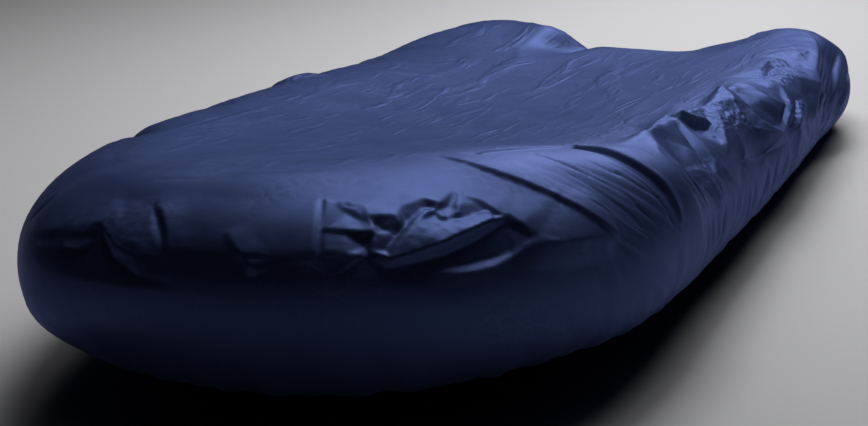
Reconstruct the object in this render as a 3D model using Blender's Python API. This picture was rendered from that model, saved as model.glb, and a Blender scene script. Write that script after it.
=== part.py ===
"""Fitted cover for an inflatable dinghy, as it sits on the boat.

One sheet of coated cloth runs over the well and the inflated tubes, down their outer
sides and round the stern, and is drawn in under the tubes by its gathered hem. The bow
points along -Y, the stern along +Y, and the hem's lowest edge is at z = 0. Metres.
"""
import math

import bpy
import numpy as np

# ---------------------------------------------------------------- driving sizes
LENGTH = 2.850            # bow to stern, over the cloth
BEAM = 1.580              # across, over the cloth
HEIGHT = 0.600            # from the hem's lowest edge to the top of the bow
CLOTH = 0.002             # thickness of the sheet
PANEL_SAG = 0.030         # how far the cloth over the well hangs between the tubes
SAG_FORM = 1.5            # above 1, the sag keeps away from the edges of the well
TUCK = 0.36               # share of the reach that is left where the hem is drawn under
HEM_LIFT = 0.018          # the hem's edge turns up this far under the tubes
HEM_TURN = 0.85           # share of the way down the skirt where the hem starts to turn up

# The run of the crest, the line where the cloth lies highest on the tubes, from the
# middle of the bow to the middle of the stern. All in metres:
#   out    crest from the centre line          along  crest from the middle of the boat
#   crest  height of the crest                 reach  how far the side bulges past it
#   bulge  height where the side is widest     base   height of the hem
SECTIONS = (
    # name              out    along  crest  reach  bulge  base
    ("bow middle",      0.000, -1.116, 0.590, 0.309, 0.405, 0.142),
    ("bow inner",       0.217, -1.076, 0.588, 0.304, 0.398, 0.140),
    ("bow turn",        0.371, -0.957, 0.570, 0.288, 0.352, 0.135),
    ("bow shoulder",    0.484, -0.766, 0.532, 0.265, 0.325, 0.126),
    ("forward tube",    0.553, -0.506, 0.474, 0.237, 0.298, 0.113),
    ("widest tube",     0.577, -0.138, 0.411, 0.205, 0.263, 0.093),
    ("middle tube",     0.572,  0.250, 0.363, 0.180, 0.230, 0.072),
    ("after tube",      0.558,  0.639, 0.326, 0.166, 0.202, 0.049),
    ("stern tube",      0.535,  1.028, 0.299, 0.162, 0.180, 0.025),
    ("tube end side",   0.520,  1.194, 0.290, 0.159, 0.168, 0.004),
    ("tube end tip",    0.440,  1.286, 0.287, 0.134, 0.164, 0.000),
    ("tube end inside", 0.285,  1.290, 0.248, 0.118, 0.150, 0.000),
    ("stern inner",     0.160,  1.262, 0.214, 0.100, 0.135, 0.000),
    ("stern middle",    0.000,  1.250, 0.216, 0.092, 0.130, 0.000),
)

# Broad unevenness of the cloth. "round" is the distance along the crest from the bow's
# middle, minus on the port side, and "down" the distance down the cloth from the crest,
# minus on the panel. "wide" and "tall" are how far the change reaches, "up" lifts the
# cloth and "out" pushes its side outwards.
MOUNDS = (
    # name                      round   down  wide  tall   up      out
    ("starboard bow stands",     0.48,  0.00, 0.34, 0.26,  0.018,  0.000),
    ("port bow sinks",          -0.50,  0.02, 0.32, 0.26, -0.037, -0.006),
    ("port cheek drawn in",     -0.42,  0.18, 0.16, 0.16, -0.006, -0.016),
    ("port cheek full below",   -0.26,  0.48, 0.12, 0.09, -0.010,  0.014),
    ("port bow hem lifted",     -0.12,  0.57, 0.14, 0.10,  0.020, -0.004),
    ("port side stands",        -1.50,  0.02, 0.50, 0.16,  0.017,  0.000),
    ("port quarter sinks",      -2.32,  0.00, 0.20, 0.14, -0.010,  0.000),
    ("port tube end stands",    -2.90, -0.02, 0.09, 0.10,  0.011,  0.000),
    ("beside port tube end",    -3.02, -0.05, 0.06, 0.16, -0.036,  0.000),
    ("port of the transom",     -3.10, -0.02, 0.05, 0.10,  0.010,  0.000),
    ("beside starboard tube",    2.92, -0.06, 0.18, 0.16, -0.020,  0.000),
    ("starboard quarter full",   0.68,  0.50, 0.14, 0.14, -0.008,  0.014),
    ("starboard side drawn in",  1.15,  0.36, 0.28, 0.16,  0.004, -0.020),
    ("starboard tube end full",  2.48,  0.26, 0.14, 0.12, -0.006,  0.006),
    ("starboard rim falls",      2.56,  0.18, 0.08, 0.08, -0.014, -0.010),
)

# The main folds, as paths of (round, down) places. "half" is half the fold's width and
# "rise" its height: a ridge where it is plus, a trough where it is minus. A crease comes
# to a sharp line along its middle, a swell is rounded there, and a lap is cloth that is
# laid over itself: the side to the left of the path stands up and drops over its edge.
CREASE, SWELL, LAP = "crease", "swell", "lap"
FOLDS = (
    # name                    half    rise   form    path
    # starboard bow: the long fold that runs down and aft, and the gathers behind it
    ("long fold",            0.040,  0.013, LAP,    ((0.37, -0.01), (0.41, 0.07), (0.46, 0.13),
                                                     (0.54, 0.22), (0.63, 0.29), (0.70, 0.34),
                                                     (0.82, 0.42))),
    ("first gather",         0.022, -0.010, CREASE, ((0.60, 0.11), (0.64, 0.21), (0.69, 0.28),
                                                     (0.75, 0.34))),
    ("second gather",        0.022, -0.010, CREASE, ((0.65, 0.17), (0.70, 0.23), (0.75, 0.30),
                                                     (0.82, 0.36))),
    ("third gather",         0.018, -0.009, CREASE, ((0.70, 0.13), (0.75, 0.20), (0.79, 0.24),
                                                     (0.84, 0.27))),
    ("crease by the crest",  0.016, -0.008, CREASE, ((0.52, 0.01), (0.62, 0.01), (0.74, 0.00))),
    # starboard side: the deepest fold, and the wide facets behind it
    ("deep fold",            0.055,  0.026, LAP,    ((0.79, 0.00), (0.81, 0.08), (0.83, 0.13),
                                                     (0.87, 0.19), (0.86, 0.25), (0.84, 0.32))),
    ("first facet ridge",    0.050,  0.024, CREASE, ((1.05, -0.02), (0.98, 0.13), (0.99, 0.20),
                                                     (1.01, 0.30))),
    ("facet hollow",         0.060, -0.020, SWELL,  ((1.15, 0.03), (1.07, 0.14), (1.07, 0.23),
                                                     (1.07, 0.31))),
    ("second facet ridge",   0.045,  0.020, CREASE, ((1.24, 0.03), (1.13, 0.15), (1.13, 0.24),
                                                     (1.11, 0.33))),
    ("lens hollow",          0.050, -0.026, CREASE, ((1.35, 0.01), (1.36, 0.06), (1.38, 0.12))),
    ("crumple ridge",        0.040,  0.018, CREASE, ((1.50, 0.00), (1.48, 0.08), (1.46, 0.16),
                                                     (1.40, 0.24))),
    ("peak ridge",           0.045,  0.032, CREASE, ((1.74, -0.01), (1.68, 0.08), (1.66, 0.13),
                                                     (1.69, 0.18), (1.80, 0.25))),
    ("hollow under peak",    0.090, -0.026, SWELL,  ((1.62, 0.05), (1.57, 0.14), (1.60, 0.24))),
    ("hollow over ridge",    0.045, -0.032, CREASE, ((1.77, 0.03), (1.75, 0.10), (1.77, 0.15),
                                                     (1.82, 0.20))),
    ("upper ridge",          0.035,  0.016, CREASE, ((1.86, 0.00), (1.82, 0.09), (1.84, 0.13),
                                                     (1.87, 0.16))),
    ("groove",               0.026, -0.014, CREASE, ((1.96, 0.01), (1.91, 0.07), (1.91, 0.10),
                                                     (1.89, 0.14))),
    # starboard tube end: the sharp rim and the gathers drawn round behind it
    ("tube end rim",         0.050, -0.018, LAP,    ((2.62, 0.02), (2.54, 0.08), (2.37, 0.12),
                                                     (2.21, 0.16), (2.08, 0.21), (1.97, 0.27))),
    ("hollow behind rim",    0.040, -0.018, CREASE, ((2.62, 0.12), (2.45, 0.16), (2.31, 0.21),
                                                     (2.21, 0.27), (2.14, 0.33))),
    ("gather behind rim",    0.030,  0.014, CREASE, ((2.70, 0.14), (2.52, 0.20), (2.39, 0.27),
                                                     (2.32, 0.34))),
    # middle of the bow: the crumpled patch, its long ridge and the pocket below
    ("upright pleat",        0.024, -0.014, CREASE, ((0.19, 0.15), (0.18, 0.23), (0.18, 0.29))),
    ("upright pleat ridge",  0.026,  0.010, CREASE, ((0.22, 0.17), (0.21, 0.22), (0.22, 0.28))),
    ("dart",                 0.028, -0.018, CREASE, ((0.245, 0.19), (0.27, 0.22), (0.28, 0.26))),
    ("slot",                 0.024, -0.022, CREASE, ((0.26, 0.23), (0.25, 0.27), (0.24, 0.32))),
    ("slant hollow",         0.034, -0.018, CREASE, ((0.34, 0.20), (0.30, 0.26), (0.27, 0.31))),
    ("long bow ridge",       0.050,  0.030, CREASE, ((0.27, 0.32), (0.33, 0.285), (0.40, 0.25),
                                                     (0.45, 0.24))),
    ("pocket",               0.040, -0.030, SWELL,  ((0.29, 0.345), (0.35, 0.325), (0.41, 0.30),
                                                     (0.46, 0.29))),
    ("pocket lip",           0.030,  0.012, SWELL,  ((0.30, 0.37), (0.36, 0.36), (0.41, 0.345),
                                                     (0.46, 0.32))),
    # port bow
    ("port pleat",           0.028, -0.020, CREASE, ((-0.10, 0.18), (-0.07, 0.23), (-0.05, 0.27),
                                                     (-0.03, 0.33))),
    ("port pleat ridge",     0.030,  0.014, CREASE, ((-0.14, 0.21), (-0.11, 0.26), (-0.09, 0.32))),
    ("port shelf",           0.045,  0.016, CREASE, ((-0.38, 0.30), (-0.28, 0.29), (-0.19, 0.25),
                                                     (-0.14, 0.19))),
    ("port crest crease",    0.030, -0.008, SWELL,  ((-0.15, 0.05), (-0.07, 0.04), (0.02, 0.04))),
    # port side and stern, with plain tension folds
    ("port fold one",        0.050, -0.018, CREASE, ((-0.80, 0.02), (-0.90, 0.12), (-1.00, 0.26))),
    ("port fold two",        0.045, -0.016, CREASE, ((-1.28, 0.02), (-1.20, 0.12), (-1.18, 0.28))),
    ("port fold three",      0.050,  0.016, CREASE, ((-1.74, 0.00), (-1.66, 0.12), (-1.72, 0.26))),
    ("port fold four",       0.050, -0.016, CREASE, ((-2.10, 0.02), (-2.00, 0.10), (-1.90, 0.24))),
    ("port tube end rim",    0.045,  0.014, LAP,    ((-2.62, 0.03), (-2.40, 0.12), (-2.20, 0.18),
                                                     (-2.02, 0.26))),
    ("stern fold starboard", 0.045, -0.018, CREASE, ((2.82, 0.03), (2.92, 0.10), (2.98, 0.18))),
    ("stern fold port",      0.045, -0.016, CREASE, ((-2.84, 0.02), (-2.93, 0.10), (-3.02, 0.18))),
)
FOLD_REACH = 1.6          # a crease or swell has died out this many half widths away
LAP_REACH = 2.5           # and a lap this many
LAP_EDGE = 7.0            # how steeply the edge of a lap drops
FAR = 9.0                 # a distance larger than any on the cloth

# Gathers of the elastic hem: waves of the cloth round the crest, largest at the hem.
GATHERS = (
    # waves round   rise    shift
    (47,            0.006,  0.4),
    (31,            0.004,  2.1),
    (71,            0.003,  1.3),
)
GATHER_START = 0.45       # share of the way down the skirt where the gathers begin
GATHER_FORM = 1.5         # above 1, the gathers grow slowly at first

BOW_CORNER = 2.3          # section where the bow's side of the panel grid ends
STERN_CORNER = 9.8        # section where the stern's side of the panel grid ends

# Coated polyester, closely woven, with a soft satin sheen
NAVY = (0.055, 0.067, 0.170, 1.0)
ROUGHNESS = 0.42
METALLIC = 0.0
SHARP_ANGLE = 70          # degrees between faces past which an edge is shaded as sharp

# ---------------------------------------------------------------- fineness
ACROSS = 84               # cells of the panel grid across the bow, an even number
DOWN_BOAT = 216           # cells of the panel grid along each tube
SKIRT_ROWS = 60           # rows of cells from crest to hem
CREST_STEPS = 400         # points of the fine curve that the crest is measured on
ROUTE_STEPS = 8           # points of a fold's route for each place of its path
TAUT_ROUNDS = 300         # times the panel's points are drawn to their neighbours' middle
KEEP = 0.052              # share of the faces that is kept, most of them at the folds


def spline(rows, at):
    """Catmull-Rom curve through rows, read at the row numbers given."""
    rows = np.asarray(rows, float)
    padded = np.vstack([2 * rows[0] - rows[1], rows, 2 * rows[-1] - rows[-2]])
    at = np.clip(np.asarray(at, float), 0, len(rows) - 1)
    low = np.minimum(at.astype(int), len(rows) - 2)
    t = (at - low)[:, None]
    p0, p1, p2, p3 = (padded[low + k] for k in range(4))
    return 0.5 * (2 * p1 + (p2 - p0) * t + (2 * p0 - 5 * p1 + 4 * p2 - p3) * t ** 2
                  + (3 * p1 - p0 - 3 * p2 + p3) * t ** 3)


def even_steps(start, end, count):
    """Section numbers from start to end that lie evenly along the crest."""
    fine = np.linspace(start, end, CREST_STEPS)
    plan = crest_rows(fine)[:, :2]
    run = np.concatenate([[0], np.cumsum(np.linalg.norm(np.diff(plan, axis=0), axis=1))])
    return np.interp(np.linspace(0, run[-1], count + 1), run, fine)


def crest_rows(at):
    """Section values at fractional section numbers, level across the centre line."""
    rows = np.array([row[1:] for row in SECTIONS])
    flip = np.array([-1, 1, 1, 1, 1, 1])
    rows = np.vstack([rows[1] * flip, rows, rows[-2] * flip])
    return spline(rows, np.asarray(at, float) + 1)


def crest_loop():
    """Closed loop of section values, from the bow's middle round by starboard."""
    last = len(SECTIONS) - 1
    bow = even_steps(0, BOW_CORNER, ACROSS // 2)
    side = even_steps(BOW_CORNER, STERN_CORNER, DOWN_BOAT)
    stern = even_steps(STERN_CORNER, last, ACROSS // 2)
    half = crest_rows(np.concatenate([bow, side[1:], stern[1:]]))
    other = half[-2:0:-1] * np.array([-1, 1, 1, 1, 1, 1])
    return np.vstack([half, other])


def run_round(plan):
    """Distance of each station from the bow's middle, minus on the port side."""
    steps = np.linalg.norm(np.roll(plan, -1, axis=0) - plan, axis=1)
    run = np.concatenate([[0], np.cumsum(steps)[:-1]])
    girth = steps.sum()
    return np.where(run > girth / 2, run - girth, run), girth


def skirt_rings(loop):
    """Rings of points from the crest down the side and under to the hem."""
    plan = loop[:, :2]
    along = np.roll(plan, -1, axis=0) - np.roll(plan, 1, axis=0)
    along /= np.linalg.norm(along, axis=1)[:, None]
    outward = np.stack([along[:, 1], -along[:, 0]], axis=1)
    crest, reach, bulge, base = loop[:, 2:].T
    rings = []
    for angle in np.linspace(0, math.pi, SKIRT_ROWS + 1):
        if angle <= math.pi / 2:
            out = reach * math.sin(angle)
            up = bulge + (crest - bulge) * math.cos(angle)
        else:
            out = reach * (TUCK + (1 - TUCK) * math.sin(angle))
            under = max(0.0, (angle / math.pi - HEM_TURN) / (1 - HEM_TURN))
            up = bulge + (bulge - base) * math.cos(angle) + HEM_LIFT * under ** 2
        rings.append(np.column_stack([plan + outward * out[:, None], up]))
    return np.array(rings)


def panel_grid(loop):
    """Inner points of the cloth over the well, blended from the four sides of the crest."""
    edge = loop[:, :3]
    half = ACROSS // 2
    total = len(edge)
    a = np.linspace(0, 1, ACROSS + 1)[:, None, None]
    b = np.linspace(0, 1, DOWN_BOAT + 1)[None, :, None]
    bow = edge[np.arange(-half, half + 1) % total][:, None]
    stern = edge[(total // 2 + half - np.arange(ACROSS + 1)) % total][:, None]
    starboard = edge[(half + np.arange(DOWN_BOAT + 1)) % total][None]
    port = edge[(-half - np.arange(DOWN_BOAT + 1)) % total][None]
    corners = ((1 - a) * (1 - b) * bow[0] + a * (1 - b) * bow[-1]
               + (1 - a) * b * stern[0] + a * b * stern[-1])
    grid = (1 - b) * bow + b * stern + (1 - a) * port + a * starboard - corners
    for _ in range(TAUT_ROUNDS):
        grid[1:-1, 1:-1] = 0.25 * (grid[:-2, 1:-1] + grid[2:, 1:-1]
                                   + grid[1:-1, :-2] + grid[1:-1, 2:])
    sag = (16 * a * (1 - a) * b * (1 - b)) ** SAG_FORM
    grid[:, :, 2] -= PANEL_SAG * sag[:, :, 0]
    return grid


def sheet_points():
    """All points, faces, and each point's place on the cloth (round the crest, down)."""
    loop = crest_loop()
    total = len(loop)
    run, girth = run_round(loop[:, :2])
    rings = skirt_rings(loop)
    drop = np.concatenate([np.zeros((1, total)),
                           np.cumsum(np.linalg.norm(np.diff(rings, axis=0), axis=2), axis=0)])
    grid = panel_grid(loop)
    inner = grid[1:-1, 1:-1].reshape(-1, 3)
    away = np.linalg.norm(inner[:, None, :2] - loop[None, :, :2], axis=2)
    near = away.argmin(axis=1)
    points = np.vstack([rings.reshape(-1, 3), inner])
    place = np.vstack([np.column_stack([np.tile(run, len(rings)), drop.ravel()]),
                       np.column_stack([run[near], -away.min(axis=1)])])
    # faces of the skirt
    faces = []
    for r in range(SKIRT_ROWS):
        for s in range(total):
            t = (s + 1) % total
            faces.append((r * total + s, (r + 1) * total + s,
                          (r + 1) * total + t, r * total + t))
    # faces of the panel
    half = ACROSS // 2
    start = rings.shape[0] * total

    def corner(i, j):
        if j == 0:
            return (i - half) % total
        if j == DOWN_BOAT:
            return (total // 2 + half - i) % total
        if i == 0:
            return (-half - j) % total
        if i == ACROSS:
            return (half + j) % total
        return start + (i - 1) * (DOWN_BOAT - 1) + (j - 1)

    for i in range(ACROSS):
        for j in range(DOWN_BOAT):
            faces.append((corner(i, j), corner(i + 1, j),
                          corner(i + 1, j + 1), corner(i, j + 1)))
    return points, faces, place, girth


def normals_of(points, faces):
    """Unit normals of a sheet made of four-sided faces."""
    quads = np.array(faces)
    across = points[quads[:, 2]] - points[quads[:, 0]]
    other = points[quads[:, 3]] - points[quads[:, 1]]
    face_normals = np.cross(across, other)
    normals = np.zeros_like(points)
    for corner in range(4):
        np.add.at(normals, quads[:, corner], face_normals)
    return normals / np.linalg.norm(normals, axis=1)[:, None]


def round_gap(place, centre, girth):
    """Distance along the crest from centre, the short way round."""
    return (place - centre + girth / 2) % girth - girth / 2


def mound_shift(place, normals, girth):
    """Shift of each point by the broad mounds and hollows."""
    shift = np.zeros((len(place), 3))
    for name, around, down, wide, tall, up, out in MOUNDS:
        gap = round_gap(place[:, 0], around, girth) / wide
        share = np.exp(-gap ** 2 - ((place[:, 1] - down) / tall) ** 2)
        shift[:, :2] += out * share[:, None] * normals[:, :2]
        shift[:, 2] += up * share
    return shift


def gap_to_path(place, path, girth):
    """Distance of each place from a smooth path, plus on its left, and its share along."""
    route = spline(path, np.linspace(0, len(path) - 1, ROUTE_STEPS * len(path)))
    middle = route[:, 0].mean()
    flat = np.column_stack([round_gap(place[:, 0], middle, girth) + middle, place[:, 1]])
    gap = np.full(len(flat), FAR)
    side = np.ones(len(flat))
    share = np.zeros(len(flat))
    for k in range(len(route) - 1):
        leg = route[k + 1] - route[k]
        offset = flat - route[k]
        along = np.clip((offset @ leg) / (leg @ leg), 0, 1)
        away = np.linalg.norm(offset - along[:, None] * leg, axis=1)
        closer = away < gap
        gap[closer] = away[closer]
        side[closer] = np.sign(offset[:, 0] * leg[1] - offset[:, 1] * leg[0])[closer]
        share[closer] = (k + along[closer]) / (len(route) - 1)
    return gap * side, share


def fold_shape(across, form):
    """Height across a fold of height 1 and half width 1, at signed distances from it."""
    away = np.abs(across)
    if form == CREASE:
        return np.clip(1 - away / FOLD_REACH, 0, 1) ** 2
    if form == SWELL:
        return np.clip(1 - (away / FOLD_REACH) ** 2, 0, 1) ** 2
    return np.tanh(LAP_EDGE * across) * np.clip(1 - away / LAP_REACH, 0, 1) ** 2


def fold_lift(place, girth):
    """Rise of the cloth from all the folds, each dying out towards its ends."""
    lift = np.zeros(len(place))
    for name, half, rise, form, path in FOLDS:
        gap, share = gap_to_path(place, path, girth)
        ends = np.sin(math.pi * share) ** 0.5
        lift += rise * fold_shape(gap / half, form) * ends
    return lift


def gather_lift(place, share_down, girth):
    """Waves of the gathered hem, from nothing part way down the skirt to full at the hem."""
    growth = np.clip((share_down - GATHER_START) / (1 - GATHER_START), 0, 1) ** GATHER_FORM
    wave = sum(rise * np.sin(2 * math.pi * count * place[:, 0] / girth + shift)
               for count, rise, shift in GATHERS)
    return wave * growth


def fit_to_size(points):
    """Bring the cloth to its stated size, with the origin under the middle of its box."""
    low, high = points.min(axis=0), points.max(axis=0)
    middle = np.array([(low[0] + high[0]) / 2, (low[1] + high[1]) / 2, low[2]])
    return (points - middle) * np.array([BEAM, LENGTH, HEIGHT]) / (high - low)


def cover_mesh(name):
    """The cloth as one sheet: its main shape, its unevenness, then its folds and gathers."""
    points, faces, place, girth = sheet_points()
    points = points + mound_shift(place, normals_of(points, faces), girth)
    ring = 2 * (ACROSS + DOWN_BOAT)
    share_down = np.zeros(len(points))
    share_down[:ring * (SKIRT_ROWS + 1)] = np.repeat(np.arange(SKIRT_ROWS + 1), ring) / SKIRT_ROWS
    lift = fold_lift(place, girth) + gather_lift(place, share_down, girth)
    points = points + normals_of(points, faces) * lift[:, None]
    mesh = bpy.data.meshes.new(name)
    mesh.from_pydata(fit_to_size(points).tolist(), [], faces)
    mesh.update()
    mesh.shade_smooth()
    mesh.set_sharp_from_angle(angle=math.radians(SHARP_ANGLE))
    return mesh


def navy_cloth():
    """The cloth's own material."""
    material = bpy.data.materials.new("navy_cloth")
    material.use_nodes = True
    shader = material.node_tree.nodes["Principled BSDF"]
    shader.inputs["Base Color"].default_value = NAVY
    shader.inputs["Roughness"].default_value = ROUGHNESS
    shader.inputs["Metallic"].default_value = METALLIC
    return material


def main():
    for old in list(bpy.data.objects):
        bpy.data.objects.remove(old, do_unlink=True)
    cover = bpy.data.objects.new("cover", cover_mesh("cover"))
    bpy.context.scene.collection.objects.link(cover)
    cover.data.materials.append(navy_cloth())
    thin = cover.modifiers.new("fewer faces where smooth", "DECIMATE")
    thin.ratio = KEEP
    wall = cover.modifiers.new("cloth thickness", "SOLIDIFY")
    wall.thickness = CLOTH
    wall.offset = -1


main()
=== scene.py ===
# %% [markdown]
# # A fitted cloth cover on an inflatable boat
# A cover like this is one sheet of thin coated polyester. It is pulled over the bow, the
# two side tubes and the well between them, and an elastic in its hem draws it in under
# the tubes. The boat holds it up, so the cloth shows the boat's form, and every place
# where there is more cloth than boat shows as a fold. In this lesson we build that sheet,
# fold it, bring it to its solid's size, and give it its finish.

import math

import bmesh
import bpy
import numpy as np
from mathutils import Matrix, Vector
from mathutils.geometry import delaunay_2d_cdt


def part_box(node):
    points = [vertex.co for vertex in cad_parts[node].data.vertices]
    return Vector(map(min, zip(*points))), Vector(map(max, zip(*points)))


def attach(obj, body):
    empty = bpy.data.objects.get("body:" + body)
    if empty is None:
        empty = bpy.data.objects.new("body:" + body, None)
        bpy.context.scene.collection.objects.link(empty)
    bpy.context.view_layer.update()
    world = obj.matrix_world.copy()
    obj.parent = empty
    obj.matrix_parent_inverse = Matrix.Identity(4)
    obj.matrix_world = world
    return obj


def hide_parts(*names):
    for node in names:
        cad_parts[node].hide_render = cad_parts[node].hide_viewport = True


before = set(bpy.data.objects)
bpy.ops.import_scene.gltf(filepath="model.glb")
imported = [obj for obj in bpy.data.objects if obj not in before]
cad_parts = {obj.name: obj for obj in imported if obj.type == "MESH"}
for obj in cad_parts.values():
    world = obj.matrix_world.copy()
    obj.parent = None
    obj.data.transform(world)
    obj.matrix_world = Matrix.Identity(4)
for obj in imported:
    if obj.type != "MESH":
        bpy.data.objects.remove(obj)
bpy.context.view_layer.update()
bpy.ops.object.select_all(action="DESELECT")

# %% [markdown]
# ## The camera
# We place the camera first, so that every later step can be judged through it. It stands
# off the starboard bow, a little above the cover, and is rolled a few degrees. We build its
# matrix from three axes, which is plainer than turning it with three angles in a row.

# %% Camera
# a program fitted all of these but the sensor's width
CAMERA_YAW = math.radians(25.97)      # round from straight ahead of the bow, to starboard
CAMERA_PITCH = math.radians(18.54)    # above level
CAMERA_ROLL = math.radians(-5.04)
CAMERA_AIM = np.array([0.146, -0.536, 0.299])
CAMERA_DISTANCE = 4.855
SENSOR_WIDTH = 36.0                   # millimetres
LENS = 86.63                          # millimetres


def camera_axes(yaw, pitch, roll):
    """Right, up and backward directions of a camera."""
    back = np.array([math.sin(yaw) * math.cos(pitch), -math.cos(yaw) * math.cos(pitch),
                     math.sin(pitch)])
    right = np.cross(-back, [0, 0, 1])
    right /= np.linalg.norm(right)
    up = np.cross(back, right)
    turned = math.cos(roll) * right + math.sin(roll) * up
    return turned, -math.sin(roll) * right + math.cos(roll) * up, back


def add_camera():
    """The camera that the scene is seen through."""
    right, up, back = camera_axes(CAMERA_YAW, CAMERA_PITCH, CAMERA_ROLL)
    data = bpy.data.cameras.new("camera")
    data.sensor_width = SENSOR_WIDTH
    data.lens = LENS
    camera = bpy.data.objects.new("camera", data)
    bpy.context.scene.collection.objects.link(camera)
    matrix = Matrix((right, up, back)).transposed().to_4x4()
    matrix.translation = Vector(CAMERA_AIM + back * CAMERA_DISTANCE)
    camera.matrix_world = matrix
    bpy.context.scene.camera = camera
    return camera


camera = add_camera()
print("camera at", [round(value, 2) for value in camera.matrix_world.translation])

# %% [markdown]
# ## The line where the cloth lies highest
# A cover has no drawing of its own: it takes its form from the boat. So we describe the
# boat's form by one line, the crest, that runs along the top of the tubes from the middle
# of the bow to the middle of the stern. A short table says where the crest is at fourteen
# sections, how far the side bulges out beyond it, and how low the hem hangs.
# A table with named columns is easy to change by hand, and a smooth curve through its rows
# gives as many points as we like.

# %% Sections of the boat under the cloth
# out and along: the crest from the centre line and from the middle of the boat; crest: its
# height; reach: how far the side bulges past it; bulge and base: height there and at the hem
# a program fitted most of these numbers to an outline: they weren't chosen by hand
SECTIONS = (
    # name              out    along  crest  reach  bulge  base
    ("bow middle",      0.000, -1.116, 0.590, 0.309, 0.405, 0.142),
    ("bow inner",       0.217, -1.076, 0.588, 0.304, 0.398, 0.140),
    ("bow turn",        0.371, -0.957, 0.570, 0.288, 0.352, 0.135),
    ("bow shoulder",    0.484, -0.766, 0.532, 0.265, 0.325, 0.126),
    ("forward tube",    0.553, -0.506, 0.474, 0.237, 0.298, 0.113),
    ("widest tube",     0.577, -0.138, 0.411, 0.205, 0.263, 0.093),
    ("middle tube",     0.572,  0.250, 0.363, 0.180, 0.230, 0.072),
    ("after tube",      0.558,  0.639, 0.326, 0.166, 0.202, 0.049),
    ("stern tube",      0.535,  1.028, 0.299, 0.162, 0.180, 0.025),
    ("tube end side",   0.520,  1.194, 0.290, 0.159, 0.168, 0.004),
    ("tube end tip",    0.440,  1.286, 0.287, 0.134, 0.164, 0.000),
    ("tube end inside", 0.285,  1.290, 0.248, 0.118, 0.150, 0.000),
    ("stern inner",     0.160,  1.262, 0.214, 0.100, 0.135, 0.000),
    ("stern middle",    0.000,  1.250, 0.216, 0.092, 0.130, 0.000),
)
OUT_FLIPS = np.array([-1, 1, 1, 1, 1, 1])     # what changes sign on the port side


def spline(rows, at):
    """Smooth (Catmull-Rom) curve through rows, read at the row numbers given."""
    rows = np.asarray(rows, float)
    padded = np.vstack([2 * rows[0] - rows[1], rows, 2 * rows[-1] - rows[-2]])
    at = np.clip(np.asarray(at, float), 0, len(rows) - 1)
    low = np.minimum(at.astype(int), len(rows) - 2)
    t = (at - low)[:, None]
    p0, p1, p2, p3 = (padded[low + k] for k in range(4))
    return 0.5 * (2 * p1 + (p2 - p0) * t + (2 * p0 - 5 * p1 + 4 * p2 - p3) * t ** 2
                  + (3 * p1 - p0 - 3 * p2 + p3) * t ** 3)


def crest_rows(at):
    """Section values at fractional section numbers, level across the centre line."""
    rows = np.array([row[1:] for row in SECTIONS])
    rows = np.vstack([rows[1] * OUT_FLIPS, rows, rows[-2] * OUT_FLIPS])
    return spline(rows, np.asarray(at, float) + 1)


print(len(SECTIONS), "sections; crest from", SECTIONS[0][3], "m at the bow to",
      SECTIONS[-1][3], "m at the stern")

# %% [markdown]
# ## A grid of faces that follows the boat
# The sheet is a grid. One ring of points runs along the crest. From it, rings of points
# go down the side and in under the tube: that is the skirt. Inside the crest, a patch is
# stretched between its four sides, as a drum skin is: that is the panel over the well.
# We could have started from a primitive and cut it up, but a grid laid along the cloth
# gives every point a place on the cloth, how far round and how far down, and all the folds
# are later drawn in those two measures.

# %% Fineness of the grid
BOW_CORNER, STERN_CORNER = 2.3, 9.8   # sections where the patch's corners lie
ACROSS = 76                           # cells of the panel across the bow, an even number
DOWN_BOAT = 184                       # cells of the panel along each tube
SKIRT_ROWS = 40                       # rows of cells from the crest to the hem
CREST_STEPS = 400                     # points of the fine curve that the crest is measured on
STATIONS = 2 * (ACROSS + DOWN_BOAT)   # cells round the whole crest


def even_steps(start, end, count):
    """Section numbers from start to end that lie evenly along the crest."""
    fine = np.linspace(start, end, CREST_STEPS)
    plan = crest_rows(fine)[:, :2]
    run = np.concatenate([[0], np.cumsum(np.linalg.norm(np.diff(plan, axis=0), axis=1))])
    return np.interp(np.linspace(0, run[-1], count + 1), run, fine)


def crest_numbers():
    """Section number of each station round the crest, and which side of the boat it is on."""
    last = len(SECTIONS) - 1
    bow = even_steps(0, BOW_CORNER, ACROSS // 2)
    side = even_steps(BOW_CORNER, STERN_CORNER, DOWN_BOAT)
    stern = even_steps(STERN_CORNER, last, ACROSS // 2)
    half = np.concatenate([bow, side[1:], stern[1:]])
    numbers = np.concatenate([half, half[-2:0:-1]])
    sides = np.where(np.arange(len(numbers)) < len(half), 1, -1)
    return numbers, sides


def crest_at(numbers, sides):
    """Section values of places on either side of the boat."""
    return crest_rows(numbers) * np.where(sides[:, None] > 0, 1, OUT_FLIPS)


def run_round(plan):
    """Distance of each station from the bow's middle, minus on the port side."""
    steps = np.linalg.norm(np.roll(plan, -1, axis=0) - plan, axis=1)
    run = np.concatenate([[0], np.cumsum(steps)[:-1]])
    girth = steps.sum()
    return np.where(run > girth / 2, run - girth, run), girth


NUMBERS, SIDES = crest_numbers()
CREST = crest_at(NUMBERS, SIDES)
ROUND, GIRTH = run_round(CREST[:, :2])
print(STATIONS, "stations, the crest is", round(float(GIRTH), 2), "m long")

# %% [markdown]
# ## The skirt and the panel
# The side of an inflated tube is nearly a quarter of an ellipse above its widest point,
# and another below it. The elastic pulls the lower quarter in, so less than half of the
# reach is left at the hem. The panel is a Coons patch, the blend of four border curves; we
# then draw every point to the middle of its neighbours many times, which is what a
# stretched cloth does, and let it sag a little between the tubes.

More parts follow.
